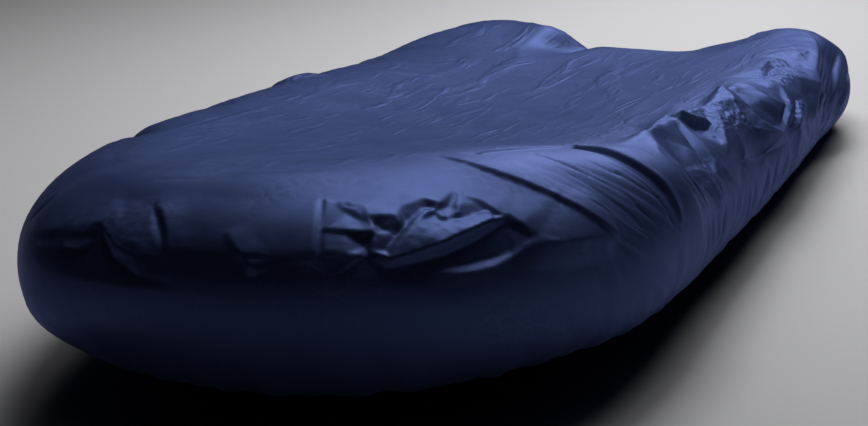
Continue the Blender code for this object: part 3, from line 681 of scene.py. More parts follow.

# %% [markdown]
# ## Flat crumples
# Where stiff cloth is pushed together it breaks into flat triangles. We draw only the creases:
# each has a few places, with a height in millimetres at each. Blender's Delaunay routine
# fills the cloth between the creases with triangles, and each triangle stays flat.

# %% Creases of the crumpled patches
# each place is (round, down, height in millimetres); a program printed most of the places,
# and the heights were chosen
PATCHES = (
    # port side of the bow, with the form line broken into short slopes
    (
        ("dark mark",        ((-0.192, 0.181, 0), (-0.157, 0.177, -3), (-0.124, 0.162, -1))),
        ("slot",             ((-0.097, 0.187, -1), (-0.072, 0.221, -4), (-0.044, 0.267, -4),
                              (-0.031, 0.307, -2))),
        ("slot's left side", ((-0.109, 0.184, 0), (-0.083, 0.224, 0), (-0.055, 0.278, 0))),
        ("slot's right side", ((-0.090, 0.180, 2), (-0.061, 0.211, 4), (-0.034, 0.259, 3),
                              (-0.015, 0.325, 1))),
        ("port form line",   ((-0.314, 0.311, 3), (-0.256, 0.294, 6), (-0.214, 0.275, 7),
                              (-0.188, 0.297, 4), (-0.163, 0.254, 8), (-0.116, 0.299, 6),
                              (-0.074, 0.316, 4))),
        ("port foot",        ((-0.284, 0.335, -2), (-0.234, 0.319, -5), (-0.189, 0.314, -6),
                              (-0.146, 0.284, -7), (-0.118, 0.322, -7), (-0.067, 0.352, -4))),
        ("middle form line", ((-0.022, 0.278, 3), (0.004, 0.267, 5), (0.028, 0.231, 5),
                              (0.059, 0.272, 4), (0.083, 0.296, 2))),
        ("bright ridge",     ((0.093, 0.306, 0), (0.103, 0.316, 5), (0.115, 0.335, 1))),
    ),
    # the crumpled patch in the middle of the bow
    (
        ("pleat ridge",      ((0.182, 0.167, 1), (0.184, 0.228, 2), (0.184, 0.284, 1))),
        ("pleat valley",     ((0.190, 0.161, -1), (0.192, 0.243, -3), (0.192, 0.302, -2))),
        ("top edge",         ((0.198, 0.170, 2), (0.213, 0.180, 1), (0.245, 0.190, 5),
                              (0.271, 0.191, 3), (0.291, 0.198, 2))),
        ("crease",           ((0.211, 0.184, 0), (0.224, 0.205, -1), (0.238, 0.223, 0))),
        ("crease's side",    ((0.218, 0.180, 3), (0.231, 0.200, 4), (0.243, 0.218, 4))),
        ("foot",             ((0.198, 0.244, 4), (0.220, 0.248, 5), (0.244, 0.253, 5))),
        ("under the foot",   ((0.199, 0.251, 0), (0.221, 0.255, 0), (0.241, 0.262, -3))),
        ("lower edge",       ((0.199, 0.289, 2), (0.221, 0.295, 3), (0.236, 0.300, 2))),
        ("dart's ridge",     ((0.245, 0.190, 5), (0.250, 0.217, 7), (0.255, 0.238, 5))),
        ("dart's roof",      ((0.245, 0.190, 5), (0.265, 0.205, 6), (0.283, 0.220, 7),
                              (0.287, 0.236, 3))),
        ("dart's floor",     ((0.258, 0.238, -4), (0.265, 0.247, -6), (0.275, 0.251, -5))),
        ("black slot",       ((0.248, 0.262, -6), (0.245, 0.279, -10), (0.242, 0.304, -6))),
        ("slot's right",     ((0.256, 0.257, 4), (0.253, 0.274, 3), (0.250, 0.292, 1))),
        ("slant valley",     ((0.318, 0.204, -2), (0.296, 0.230, -5), (0.280, 0.260, -7),
                              (0.265, 0.290, -6))),
        ("slant ridge",      ((0.325, 0.213, 4), (0.305, 0.239, 5), (0.290, 0.264, 6),
                              (0.273, 0.297, 4))),
        ("star one",         ((0.326, 0.179, 4), (0.330, 0.199, -5), (0.340, 0.209, -2))),
        ("star two",         ((0.344, 0.195, 5), (0.334, 0.218, -5), (0.344, 0.228, 4))),
        ("stroke",           ((0.377, 0.161, 0), (0.362, 0.197, -4), (0.353, 0.228, -1))),
        ("stroke's ridge",   ((0.383, 0.178, 2), (0.372, 0.205, 5), (0.366, 0.224, 3))),
        ("above the ridge",  ((0.338, 0.238, -1), (0.377, 0.231, -2), (0.418, 0.222, -1))),
        ("long ridge",       ((0.271, 0.309, 5), (0.296, 0.300, 8), (0.327, 0.287, 11),
                              (0.368, 0.266, 12), (0.413, 0.245, 9), (0.436, 0.237, 4))),
        ("pocket's roof",    ((0.262, 0.326, -6), (0.297, 0.316, -10), (0.336, 0.302, -13),
                              (0.384, 0.278, -12), (0.420, 0.257, -7))),
        ("pocket's floor",   ((0.316, 0.334, -6), (0.357, 0.325, -11), (0.398, 0.316, -11),
                              (0.441, 0.297, -5))),
        ("lip",              ((0.317, 0.350, 0), (0.357, 0.342, 2), (0.398, 0.334, 2),
                              (0.448, 0.306, 1))),
        ("right crease one", ((0.403, 0.200, -1), (0.412, 0.220, -5), (0.419, 0.236, -3))),
        ("right ridge one",  ((0.415, 0.199, 2), (0.424, 0.220, 4), (0.431, 0.232, 4))),
        ("right crease two", ((0.437, 0.247, -2), (0.443, 0.262, -6), (0.461, 0.287, -2))),
        ("right ridge two",  ((0.445, 0.238, 3), (0.455, 0.259, 5), (0.472, 0.283, 1))),
        ("right form line",  ((0.466, 0.306, 1), (0.490, 0.299, 4), (0.519, 0.306, 3),
                              (0.571, 0.296, 4), (0.613, 0.296, 1))),
    ),
    # starboard side: the corner behind the deep fold, the lens, the peak and the crumples
    (
        ("corner crease",    ((1.022, -0.017, 0), (1.056, 0.000, -6), (1.100, 0.002, -2))),
        ("corner ridge",     ((1.020, 0.006, 3), (1.080, 0.016, 6), (1.046, 0.046, 12))),
        ("facet ridge",      ((1.046, 0.046, 12), (0.945, 0.120, 8), (0.905, 0.184, 5),
                              (0.885, 0.245, 1))),
        ("side ridge",       ((1.074, 0.062, 4), (0.988, 0.129, 6), (0.976, 0.201, 6),
                              (1.000, 0.257, 2))),
        ("side valley",      ((1.132, 0.053, -4), (1.050, 0.146, -9), (1.036, 0.214, -9),
                              (1.050, 0.270, -3))),
        ("crest edge",       ((1.046, 0.046, 12), (1.227, -0.008, 12), (1.330, -0.020, 12))),
        ("lens roof",        ((1.330, -0.020, 12), (1.364, 0.026, 14), (1.413, 0.051, 8))),
        ("lens floor",       ((1.324, -0.002, -9), (1.352, 0.040, -15), (1.402, 0.066, -12),
                              (1.425, 0.062, -3))),
        ("lens lip",         ((1.308, 0.010, -1), (1.262, 0.070, 2), (1.246, 0.123, 3),
                              (1.230, 0.166, 0))),
        ("under the lip",    ((1.262, 0.034, -8), (1.210, 0.100, -13), (1.200, 0.161, -13),
                              (1.182, 0.218, -6))),
        ("peak ridge",       ((1.717, -0.005, 17), (1.602, 0.089, 14), (1.599, 0.138, 13),
                              (1.644, 0.176, 10), (1.735, 0.209, 3))),
        ("above the ridge",  ((1.755, 0.020, 0), (1.705, 0.077, -8), (1.703, 0.129, -11),
                              (1.728, 0.168, -9), (1.750, 0.190, -3))),
        ("hollow's roof",    ((1.778, 0.022, 8), (1.777, 0.057, 10), (1.765, 0.092, 11),
                              (1.790, 0.127, 10), (1.803, 0.151, 5))),
        ("peak's flank",     ((1.690, 0.002, 12), (1.618, 0.030, 10), (1.488, 0.061, 8),
                              (1.412, 0.103, 7), (1.372, 0.139, 2))),
        ("flank valley",     ((1.735, -0.036, -3), (1.600, -0.010, -9), (1.452, 0.040, -9),
                              (1.385, 0.092, -7), (1.350, 0.130, -4))),
        ("jagged crease",    ((1.674, -0.052, -2), (1.651, -0.034, -6), (1.690, -0.024, -2))),
        ("plane's foot",     ((1.322, 0.175, -4), (1.412, 0.207, -14), (1.603, 0.240, -14),
                              (1.741, 0.241, -5))),
        ("cluster roof one", ((2.098, 0.011, 5), (2.214, 0.005, 6), (2.253, 0.022, 5))),
        ("cluster floor one", ((2.020, 0.040, -6), (2.190, 0.026, -9), (2.146, 0.052, -8))),
        ("cluster roof two", ((2.337, 0.027, 5), (2.335, 0.065, 6), (2.397, 0.083, 3))),
        ("cluster floor two", ((2.288, 0.038, -8), (2.239, 0.070, -11), (2.300, 0.097, -6))),
        ("bulge",            ((1.982, 0.086, 3), (2.078, 0.088, 9), (2.114, 0.120, 9),
                              (2.030, 0.144, 3))),
        ("valley one",       ((1.862, 0.140, -5), (1.816, 0.166, -8), (1.780, 0.180, -4))),
        ("ridge one",        ((1.896, 0.146, 4), (1.830, 0.175, 8), (1.790, 0.198, 3))),
        ("valley two",       ((1.962, 0.152, -5), (1.882, 0.183, -8), (1.816, 0.205, -4))),
        ("ridge two",        ((1.995, 0.162, 4), (1.888, 0.196, 7), (1.826, 0.220, 3))),
        ("valley three",     ((2.080, 0.161, -3), (1.995, 0.196, -6), (1.917, 0.228, -3))),
    ),
)
RING = 16                 # places round a patch where its height has come down to nothing
RING_MARGIN = 1.25        # how far out they lie, as a share of the patch's half size
JOIN = 1e-5               # places closer than this are one place


def flat_triangles(creases):
    """Corners (round, down, metres up) and triangles of a patch drawn by its creases."""
    places, edges = [], []
    for name, path in creases:
        edges += [(len(places) + k, len(places) + k + 1) for k in range(len(path) - 1)]
        places += [(around, down, 0.001 * up) for around, down, up in path]
    places = np.array(places)
    low, high = places[:, :2].min(axis=0), places[:, :2].max(axis=0)
    turns = np.linspace(0, 2 * math.pi, RING, endpoint=False)
    ring = np.column_stack([np.cos(turns), np.sin(turns)]) * (high - low) / 2 * RING_MARGIN
    ring = np.column_stack([(low + high) / 2 + ring, np.zeros(RING)])
    corners = np.vstack([places, ring])
    found, _, triangles, came_from = delaunay_2d_cdt(
        [Vector(place[:2]) for place in corners], edges, [], 0, JOIN)[:4]
    heights = [corners[origin[0], 2] if origin else 0 for origin in came_from]
    return np.column_stack([np.array([tuple(place) for place in found]), heights]), triangles


def patch_lift(around, down):
    """Height of the flat triangles of all patches."""
    lift = np.zeros(len(around))
    flat = np.column_stack([around, down])
    for creases in PATCHES:
        corners, triangles = flat_triangles(creases)
        for triangle in triangles:
            a, b, c = corners[list(triangle)]
            low, high = np.minimum(np.minimum(a, b), c)[:2], np.maximum(np.maximum(a, b), c)[:2]
            near = np.flatnonzero(((flat >= low) & (flat < high)).all(axis=1))
            legs = np.column_stack([b[:2] - a[:2], c[:2] - a[:2]])
            if not len(near) or abs(np.linalg.det(legs)) < JOIN ** 2:
                continue
            share = np.linalg.solve(legs, (flat[near] - a[:2]).T).T
            inside = (share >= 0).all(axis=1) & (share.sum(axis=1) <= 1)
            lift[near[inside]] = (a[2] + share @ np.array([b[2] - a[2], c[2] - a[2]]))[inside]
    return lift


print(sum(len(creases) for creases in PATCHES), "creases in", len(PATCHES), "patches")

# %% [markdown]
# ## Fans of gathers
# Where a lot of cloth is drawn to one place, many thin folds run side by side, each a
# little different. A fan is made from two paths: its folds lie between them, and small
# random differences in place, width and height keep them from looking ruled. The random
# numbers start from a fixed seed, so the cloth is the same every time.

# %% Fans
# a program printed a few of these places
FANS = (
    # name                  folds  half   rise    first path, last path
    ("between the folds",     6, 0.009, -0.0035,
     ((0.52, 0.13), (0.62, 0.26), (0.76, 0.36)), ((0.78, 0.12), (0.82, 0.19), (0.85, 0.29))),
    ("bow, low down",         9, 0.012, -0.0040,
     ((0.46, 0.40), (0.47, 0.46), (0.48, 0.53)), ((0.80, 0.40), (0.86, 0.46), (0.90, 0.53))),
    ("under the long fold",   4, 0.012, -0.0050,
     ((0.53, 0.31), (0.55, 0.37), (0.57, 0.43)), ((0.62, 0.32), (0.66, 0.39), (0.70, 0.44))),
    ("side, low down",       15, 0.014, -0.0060,
     ((0.93, 0.32), (0.93, 0.39), (0.95, 0.45)), ((1.95, 0.26), (1.88, 0.31), (1.80, 0.37))),
    ("facets of the side",    6, 0.010, -0.0030,
     ((0.90, 0.10), (0.90, 0.20), (0.93, 0.30)), ((1.26, 0.10), (1.20, 0.18), (1.18, 0.28))),
    ("round the tube end",    8, 0.010, -0.0070,
     ((2.60, 0.10), (2.32, 0.15), (2.10, 0.22)), ((2.62, 0.21), (2.52, 0.26), (2.42, 0.32))),
    ("tube end, low down",    8, 0.014, -0.0060,
     ((2.02, 0.27), (1.98, 0.30), (1.92, 0.34)), ((2.72, 0.20), (2.70, 0.26), (2.68, 0.33))),
    ("bow middle, low down", 10, 0.014, -0.0030,
     ((-0.40, 0.42), (-0.40, 0.48), (-0.38, 0.55)), ((0.44, 0.42), (0.44, 0.48), (0.45, 0.55))),
    ("port side, low down",  26, 0.014, -0.0060,
     ((-2.60, 0.22), (-2.55, 0.28), (-2.50, 0.34)), ((-0.60, 0.34), (-0.62, 0.40), (-0.64, 0.48))),
    ("port side, high up",   12, 0.012, -0.0040,
     ((-2.40, 0.03), (-2.30, 0.09), (-2.25, 0.16)), ((-0.70, 0.04), (-0.74, 0.12), (-0.80, 0.22))),
    ("stern, low down",      12, 0.012, -0.0060,
     ((2.76, 0.12), (2.77, 0.18), (2.78, 0.26)), ((3.60, 0.12), (3.60, 0.18), (3.60, 0.26))),
)
FAN_SEED = 5
FAN_PLACES = (0.15, 0.85)   # where a fold lies in its own slice of the fan
FAN_LEAN = 0.5              # how far its ends may lie to either side, as a share of a slice
FAN_WIDTHS = (0.6, 1.4)     # its width and its height, as shares of the fan's
FAN_HEIGHTS = (0.4, 1.4)


def fan_folds(fans, seed):
    """One row of a fold table for each fold of each fan."""
    random = np.random.default_rng(seed)
    rows = []
    for name, count, half, rise, first, last in fans:
        first, last = np.array(first), np.array(last)
        for fold in range(count):
            place = (fold + random.uniform(*FAN_PLACES)) / count
            lean = random.uniform(-FAN_LEAN, FAN_LEAN) / count
            shift = np.linspace(place - lean, place + lean, len(first))[:, None]
            path = first + (last - first) * shift
            rows.append((name, half * random.uniform(*FAN_WIDTHS),
                         rise * random.uniform(*FAN_HEIGHTS), CREASE, path))
    return rows


FAN_FOLDS = fan_folds(FANS, FAN_SEED)
print(len(FAN_FOLDS), "folds in", len(FANS), "fans")

# %% [markdown]
# ## Small crumples
# Between the big facets the cloth is broken up more finely. A zigzag wave has flat flanks
# and sharp edges; three of them in different directions, each bent a little, add up to
# small irregular facets. We let them show only in soft windows where the cloth is slack.

# %% Crumple windows
CRUMPLES = (
    # name                  round  down   wide   tall   size   rise    seed
    ("bow patch",            0.32, 0.250, 0.090, 0.050, 0.025, 0.0010, 3),
    ("port cheek",          -0.12, 0.260, 0.090, 0.070, 0.035, 0.0014, 4),
    ("behind the lens",      1.52, 0.075, 0.120, 0.060, 0.026, 0.0036, 7),
    ("side facets",          1.15, 0.180, 0.160, 0.080, 0.040, 0.0012, 8),
    ("over the hollow",      2.12, 0.060, 0.130, 0.055, 0.026, 0.0038, 9),
    ("below the hollow",     1.92, 0.190, 0.080, 0.040, 0.026, 0.0030, 11),
    ("crest aft",            1.60, -0.02, 0.300, 0.050, 0.040, 0.0026, 12),
    ("inside the crest",     1.15, -0.09, 0.260, 0.060, 0.045, 0.0026, 17),
    ("tube top",             2.35, 0.030, 0.160, 0.060, 0.050, 0.0022, 13),
    ("port tube",           -1.80, 0.080, 0.500, 0.080, 0.060, 0.0035, 14),
    ("stern corner",         2.90, 0.100, 0.180, 0.070, 0.045, 0.0040, 15),
    ("port stern corner",   -2.80, 0.100, 0.200, 0.070, 0.045, 0.0040, 16),
)
ZIGZAGS = 3               # crossing waves in one crumple
WAVE_SIZES = (0.7, 1.5)   # shortest and longest wave, as shares of a window's size
BEND = 0.35               # how far the waves are bent, as a share of their length
BEND_TURN = 2.3           # radians that the bend goes through in one length across the wave
BEND_STARTS = (0, 6)      # radians at which it may start
TALLEST_CRUMPLE = 0.004   # a window of this rise counts as fully crumpled


def zigzag(turns):
    """A wave from -1 to 1 with straight flanks."""
    return 4 * np.abs(turns % 1 - 0.5) - 1


def crumple_lift(around, down):
    """Small facets in every crumple window, and how deep in a window each point lies."""
    lift, crumpled = np.zeros(len(around)), np.zeros(len(around))
    for name, centre, middle, wide, tall, size, rise, seed in CRUMPLES:
        flat = np.column_stack([round_gap(around, centre), down - middle])
        window = np.exp(-(flat[:, 0] / wide) ** 2 - (flat[:, 1] / tall) ** 2)
        random = np.random.default_rng(seed)
        wave = np.zeros(len(around))
        for _ in range(ZIGZAGS):
            turn = random.uniform(0, math.pi)
            length = size * random.uniform(*WAVE_SIZES)
            ahead = flat @ np.array([math.cos(turn), math.sin(turn)]) / length
            across = flat @ np.array([-math.sin(turn), math.cos(turn)]) / length
            bend = BEND * np.sin(BEND_TURN * across + random.uniform(*BEND_STARTS))
            wave += zigzag(ahead + bend + random.uniform(0, 1)) / ZIGZAGS
        lift += rise * window * wave
        crumpled = np.maximum(crumpled, window * (rise / TALLEST_CRUMPLE) ** 2)
    return lift, crumpled


print(len(CRUMPLES), "crumple windows")

# %% [markdown]
# ## Wrinkles of the panel
# The cloth over the well hangs free, with long shallow wrinkles that run fore and aft.
# They are drawn on the plan of the boat, in metres to starboard and aft. Some have a row of
# their own, and a number of fainter ones are strewn between them.

# %% Panel wrinkles
WRINKLES = (
    # name            half   rise     path
    ("port long",     0.014, 0.0035, ((-0.32, 0.30), (-0.25, 0.60), (-0.26, 0.95), (-0.34, 1.12))),
    ("port inner",    0.010, 0.0030, ((-0.38, 0.52), (-0.36, 0.72), (-0.39, 0.95))),
    ("port cross",    0.012, 0.0030, ((-0.52, 0.50), (-0.44, 0.54), (-0.36, 0.60))),
    ("middle long",   0.012, 0.0040, ((-0.10, 0.48), (-0.06, 0.64), (-0.08, 0.85), (-0.13, 1.05))),
    ("middle right",  0.010, 0.0035, ((0.08, 0.62), (0.07, 0.80), (0.02, 1.06))),
    ("right long",    0.012, 0.0035, ((0.10, 0.74), (0.12, 0.92), (0.14, 1.14))),
    ("fore one",      0.010, 0.0025, ((-0.01, -0.10), (-0.05, 0.16))),
    ("fore two",      0.010, 0.0025, ((0.02, 0.04), (-0.03, 0.30))),
    ("right one",     0.010, 0.0030, ((0.27, 0.24), (0.24, 0.37), (0.21, 0.55))),
    ("right two",     0.010, 0.0025, ((0.19, 0.15), (0.18, 0.30), (0.175, 0.44))),
    ("right three",   0.014, 0.0040, ((0.40, 0.05), (0.36, 0.25), (0.33, 0.50))),
)
PANEL_EDGE = 0.04         # wrinkles of the panel die out this close to the crest
STREWN = 70               # fainter wrinkles
STREWN_SEED = 21
STREWN_X, STREWN_Y = (-0.48, 0.48), (-0.75, 1.15)     # where their middles lie
STREWN_LENGTHS = (0.06, 0.32)
STREWN_TURN = 0.45        # spread of their direction from fore and aft, in radians
STREWN_BEND = 0.15        # how far a middle is off the line, as a share of the length
STREWN_HALVES = (0.006, 0.014)        # half widths
STREWN_RISES = (-0.0012, 0.0022)


def strewn_wrinkles():
    """Faint wrinkles at random places, which run more or less fore and aft."""
    random = np.random.default_rng(STREWN_SEED)
    rows = []
    for _ in range(STREWN):
        x, y = random.uniform(*STREWN_X), random.uniform(*STREWN_Y)
        length, turn = random.uniform(*STREWN_LENGTHS), random.normal(0.0, STREWN_TURN)
        step = np.array([math.sin(turn), math.cos(turn)]) * length
        side = np.array([step[1], -step[0]]) * random.uniform(-STREWN_BEND, STREWN_BEND)
        start = np.array([x, y]) - step / 2
        rows.append(("strewn", random.uniform(*STREWN_HALVES), random.uniform(*STREWN_RISES),
                     CREASE, (start, start + step / 2 + side, start + step)))
    return rows


def wrinkle_lift(plan, down, wrinkles):
    """Rise of the panel from wrinkles drawn in plan, none of it outside the crest."""
    lift = np.zeros(len(plan))
    for wrinkle in wrinkles:
        raise_fold(lift, plan, wrinkle, FOLD_REACH)
    return lift * np.clip(-down / PANEL_EDGE, 0, 1)


PANEL_FOLDS = [row[:3] + (CREASE,) + row[3:] for row in WRINKLES] + strewn_wrinkles()
print(len(PANEL_FOLDS), "wrinkles on the panel")

# %% [markdown]
# ## Finer faces where the folds are
# Sharp folds need small faces, and small faces everywhere would be slow. The starboard side
# and the bow have the folds, so we select the faces there by their measures and subdivide
# them. The faces along the sharp facet folds are then cut once more. The skirt's new points
# are put back on the true curve of the tube, because a cut in the middle of a face lies a
# little inside it.

# %% Cut the folded parts finer
FINE_ROUND = (-0.22, 2.74)            # the part of the crest that gets finer faces
FINE_DOWN = (-0.035, 0.385)           # and how far down the cloth
FINEST_ROUND = (0.170, 0.480)         # the crumpled patch of the bow gets the finest faces
FINEST_DOWN = (0.155, 0.355)          # all over
SHARP_FLANK = 0.020                   # a flank wider than this needs no finer faces
FOLD_MARGIN = 0.004                   # the finest faces reach this far past a narrow flank
CREASE_MARGIN = 0.009                 # and this far to either side of a patch's crease


def subdivide_where(mesh, near):
    """Cut each face whose corners are all near in four."""
    bpy.context.tool_settings.mesh_select_mode = (False, False, True)
    mesh.vertices.foreach_set("select", [False] * len(mesh.vertices))
    mesh.edges.foreach_set("select", [False] * len(mesh.edges))
    mesh.polygons.foreach_set("select", [all(near[v] for v in face.vertices)
                                         for face in mesh.polygons])
    bpy.ops.object.mode_set(mode="EDIT")
    bpy.ops.mesh.subdivide(number_cuts=1)
    bpy.ops.object.mode_set(mode="OBJECT")


def near_facets(around, down):
    """Which places lie on a narrow flank, in the bow's patch or beside a patch's crease."""
    flat = np.column_stack([around, down])
    near = ((around > FINEST_ROUND[0]) & (around < FINEST_ROUND[1])
            & (down > FINEST_DOWN[0]) & (down < FINEST_DOWN[1]))
    for name, above, below, rise, path in FACETS:
        close = near_path(flat, path, max(above, below))
        gap, share = gap_to_path(flat[close], path)
        near[close] |= ((gap < min(above, SHARP_FLANK) + FOLD_MARGIN)
                        & (gap > -min(below, SHARP_FLANK) - FOLD_MARGIN))
    for creases in PATCHES:
        for name, path in creases:
            path = np.array(path)[:, :2]
            close = near_path(flat, path, CREASE_MARGIN)
            near[close] |= np.abs(gap_to_path(flat[close], path)[0]) < CREASE_MARGIN
    return near


def place_points(mesh):
    """Put the skirt on the tube's true curve, and ease the crest."""
    number, share = get_measure(mesh, "number"), get_measure(mesh, "share")
    skirt = share >= 0
    points = points_of(mesh)
    sides = np.where(number[skirt] < 0, -1, 1)
    points[skirt] = skirt_points(np.abs(number[skirt]), sides, share[skirt])
    points += np.stack([get_measure(mesh, "ease_" + axis) for axis in "xyz"], axis=1)
    set_points(mesh, points)


bpy.context.view_layer.objects.active = cloth
cloth.select_set(True)
AROUND, DOWN = get_measure(cloth.data, "round"), get_measure(cloth.data, "down")
subdivide_where(cloth.data, (AROUND > FINE_ROUND[0]) & (AROUND < FINE_ROUND[1])
                & (DOWN > FINE_DOWN[0]) & (DOWN < FINE_DOWN[1]))
print(len(cloth.data.polygons), "faces after the first cut")
subdivide_where(cloth.data, near_facets(get_measure(cloth.data, "round"),
                                        get_measure(cloth.data, "down")))
place_points(cloth.data)
print(len(cloth.data.polygons), "faces after the second")

# %% [markdown]
# ## Gathers of the hem
# The elastic is shorter than the edge of the cloth, so the edge is drawn into many small
# waves. We add three sine waves that run round the crest. Their numbers of waves have no
# common factor, so the sum doesn't look ruled. Then every fold is raised in one go.

# %% Gathers, and all the folds
GATHERS = (
    # waves round   rise    shift
    (94,            0.0035, 0.4),
    (61,            0.0030, 2.1),
    (139,           0.0020, 1.3),
)
GATHER_START = 0.45       # share of the way down the skirt where the gathers begin
GATHER_FORM = 1.5         # above 1, the gathers grow slowly at first


def gather_lift(around, share):
    """Waves of the gathered hem, from nothing part way down the skirt to full at the hem."""
    growth = np.clip((share - GATHER_START) / (1 - GATHER_START), 0, 1) ** GATHER_FORM
    wave = sum(rise * np.sin(2 * math.pi * count * around / GIRTH + shift)
               for count, rise, shift in GATHERS)
    return wave * growth


def fold_cloth(mesh):
    """Raise every fold and gather along the cloth's normals."""
    around, down = get_measure(mesh, "round"), get_measure(mesh, "down")
    crumples, crumpled = crumple_lift(around, down)
    set_measure(mesh, "crumpled", crumpled)
    points = points_of(mesh)
    lift = (fold_lift(around, down, FOLDS) + facet_lift(around, down, FACETS)
            + patch_lift(around, down)
            + fold_lift(around, down, FAN_FOLDS) + crumples
            + wrinkle_lift(points[:, :2], down, PANEL_FOLDS)
            + gather_lift(around, get_measure(mesh, "share")))
    points += normals_of(mesh) * lift[:, None]
    set_points(mesh, points)


raise_mounds(cloth.data)
fold_cloth(cloth.data)
print("folded")

# %% [markdown]
# ## The right size
# Mounds and folds push the sheet a little past the solid that it stands for, or leave it a
# little short. We measure its box, and stretch or shrink the sheet to the solid's.

# %% Fit the sheet to its solid
def fit_to_box(mesh, box):
    """Bring the sheet to the solid's size and place."""
    points = points_of(mesh)
    low, high = np.array(box[0]), np.array(box[1])
    now_low, now_high = points.min(axis=0), points.max(axis=0)
    points = low + (points - now_low) * (high - low) / (now_high - now_low)
    set_points(mesh, points)


fit_to_box(cloth.data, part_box("cover"))
cloth.data.shade_smooth()
print("the sheet measures", [round(value, 3) for value in cloth.dimensions])

# %% [markdown]
# ## The hem
# The edge of such a cover is turned over and sewn down as a narrow tunnel, and the elastic
# runs inside it. We make the tunnel from the sheet's own edge: the ring of edge points is
# extruded again and again, and each new ring is placed a little further round a small
# circle that lies on the inner side of the cloth.

# %% Rolled hem
HEM_RADIUS = 0.006        # half the thickness of the tunnel with its elastic
HEM_TURNS = 8             # rings of faces round the tunnel
HEM_ROUND = math.radians(330)   # how far round the tunnel goes


def edge_ring(shape):
    """The points of the sheet's edge, in order round it."""
    edge = next(edge for edge in shape.edges if edge.is_boundary)
    ring, point = [], edge.verts[0]
    while True:
        ring.append(point)
        point = edge.other_vert(point)
        edge = next(e for e in point.link_edges if e.is_boundary and e is not edge)
        if point is ring[0]:
            return ring


def roll_hem(mesh):
    """Turn the sheet's edge inwards round a small circle."""
    shape = bmesh.new()
    shape.from_mesh(mesh)
    shape.normal_update()
    ring = edge_ring(shape)
    places, outs, downs = [], [], []
    for number, point in enumerate(ring):
        along = (ring[(number + 1) % len(ring)].co - ring[number - 1].co).normalized()
        inner = next(e.other_vert(point) for e in point.link_edges if not e.is_boundary)
        down = point.co - inner.co
        down = (down - along * down.dot(along)).normalized()
        out = along.cross(down)
        outs.append(out if out.dot(point.normal) > 0 else -out)
        downs.append(down)
        places.append(point.co.copy())
    before = ring
    for turn in range(1, HEM_TURNS + 1):
        angle = HEM_ROUND * turn / HEM_TURNS
        now = []
        for place, out, down, point in zip(places, outs, downs, ring):
            new = shape.verts.new(place + out * HEM_RADIUS * (math.cos(angle) - 1)
                                  + down * HEM_RADIUS * math.sin(angle), point)
            now.append(new)
        for number in range(len(ring)):
            after = (number + 1) % len(ring)
            shape.faces.new((before[number], before[after], now[after], now[number]))
        before = now
    bmesh.ops.recalc_face_normals(shape, faces=shape.faces[:])
    shape.to_mesh(mesh)
    shape.free()
    mesh.update()


roll_hem(cloth.data)
cloth.data.shade_smooth()
print(len(cloth.data.polygons), "faces with the hem")

# %% [markdown]
# ## A map of the cloth
# The weave and the fine crinkles have to follow the cloth, so the sheet gets a UV map in
# metres of cloth. On the panel it is the plan of the boat. On the skirt it goes on outwards
# from the crest by the distance down the cloth, so nothing is stretched by more than a
# little.

# %% Lay out the cloth in metres
CLOTH_MAP = "cloth_metres"


def map_cloth(mesh):
    """A UV map, in metres, of the sheet laid out flat round the panel."""
    around, down = get_measure(mesh, "round"), get_measure(mesh, "down")
    points = points_of(mesh)
    order = np.argsort(ROUND)
    x = np.interp(around, ROUND[order], CREST[order, 0])
    y = np.interp(around, ROUND[order], CREST[order, 1])
    size = np.hypot(x, y)
    laid = np.stack([x * (1 + down / size), y * (1 + down / size)], axis=1)
    flat = np.where(down[:, None] > 0, laid, points[:, :2])
    corners = np.zeros(len(mesh.loops), np.int32)
    mesh.loops.foreach_get("vertex_index", corners)
    layer = mesh.uv_layers.new(name=CLOTH_MAP)
    layer.data.foreach_set("uv", flat[corners].astype(np.float32).ravel())


map_cloth(cloth.data)
print("UV map in metres of cloth")

# %% [markdown]
# ## The finish of the cloth
# The cloth is plain-woven polyester, calendered on the outside: hot rollers press the
# threads flat, which gives a soft satin shine. The threads are dyed through, so the shine
# is navy too, not white. A metallic share in the shader gives that tinted shine, and the
# specular tint keeps it blue where we look along the cloth.
# Nothing about used cloth is even. Four fine reliefs go into a bump: the weave, the small
# flats that packing leaves, finer ones where the cloth is crumpled, and long soft wrinkles
# along the boat. They share one map that is laid out in metres, so each has a real size.
# Handling makes the cloth duller in blotches, and the dye is a little paler where the flats
# meet and rub.

# %% Colour and node helpers
def hex_colour(text):
    """A colour as four linear numbers from an sRGB hex value."""
    values = [int(text[k:k + 2], 16) / 255 for k in (0, 2, 4)]
    return [v / 12.92 if v <= 0.04045 else ((v + 0.055) / 1.055) ** 2.4 for v in values] + [1]


def add_node(tree, kind, settings=None, links=None, values=None):
    """Add a node, set it up, and link other sockets to its inputs."""
    node = tree.nodes.new(kind)
    for name, value in (settings or {}).items():
        setattr(node, name, value)
    for name, value in (values or {}).items():
        node.inputs[name].default_value = value
    for name, socket in (links or {}).items():
        tree.links.new(socket, node.inputs[name])
    return node


print("a mid grey is", [round(v, 3) for v in hex_colour("808080")])

# %% Calendered navy polyester
NAVY = "37456F"           # the dyed threads
RUBBED_NAVY = "414E78"    # and where they are rubbed
SATIN_TINT = "A8B8FF"     # what keeps the shine blue at a glancing angle
METALLIC = 0.55           # share of the light that is thrown back tinted
SPECULAR_LEVEL = 0.3
IOR = 1.5                 # a usual value for plastics
SMOOTHEST, ROUGHEST = 0.44, 0.51      # roughness of pressed and of handled cloth
THREAD = 0.0024           # metres from thread to thread: 0.5 mm is real, but too fine to show
THREAD_HEIGHT = 0.00006
FLAT = 0.034              # metres across a small flat left by packing
FLAT_HEIGHT = 0.0008
FLAT_BEND = 0.7           # how far the edges of the flats wander, as a share of their size
CRUSHED = 0.020           # metres across the finest flats, in the crumple windows
CRUSHED_HEIGHT = 0.0046   # and their height, where a window is fully crumpled
LONG_WRINKLE = (0.055, 0.26)          # metres across and along the boat
LONG_WRINKLE_HEIGHT = 0.0032
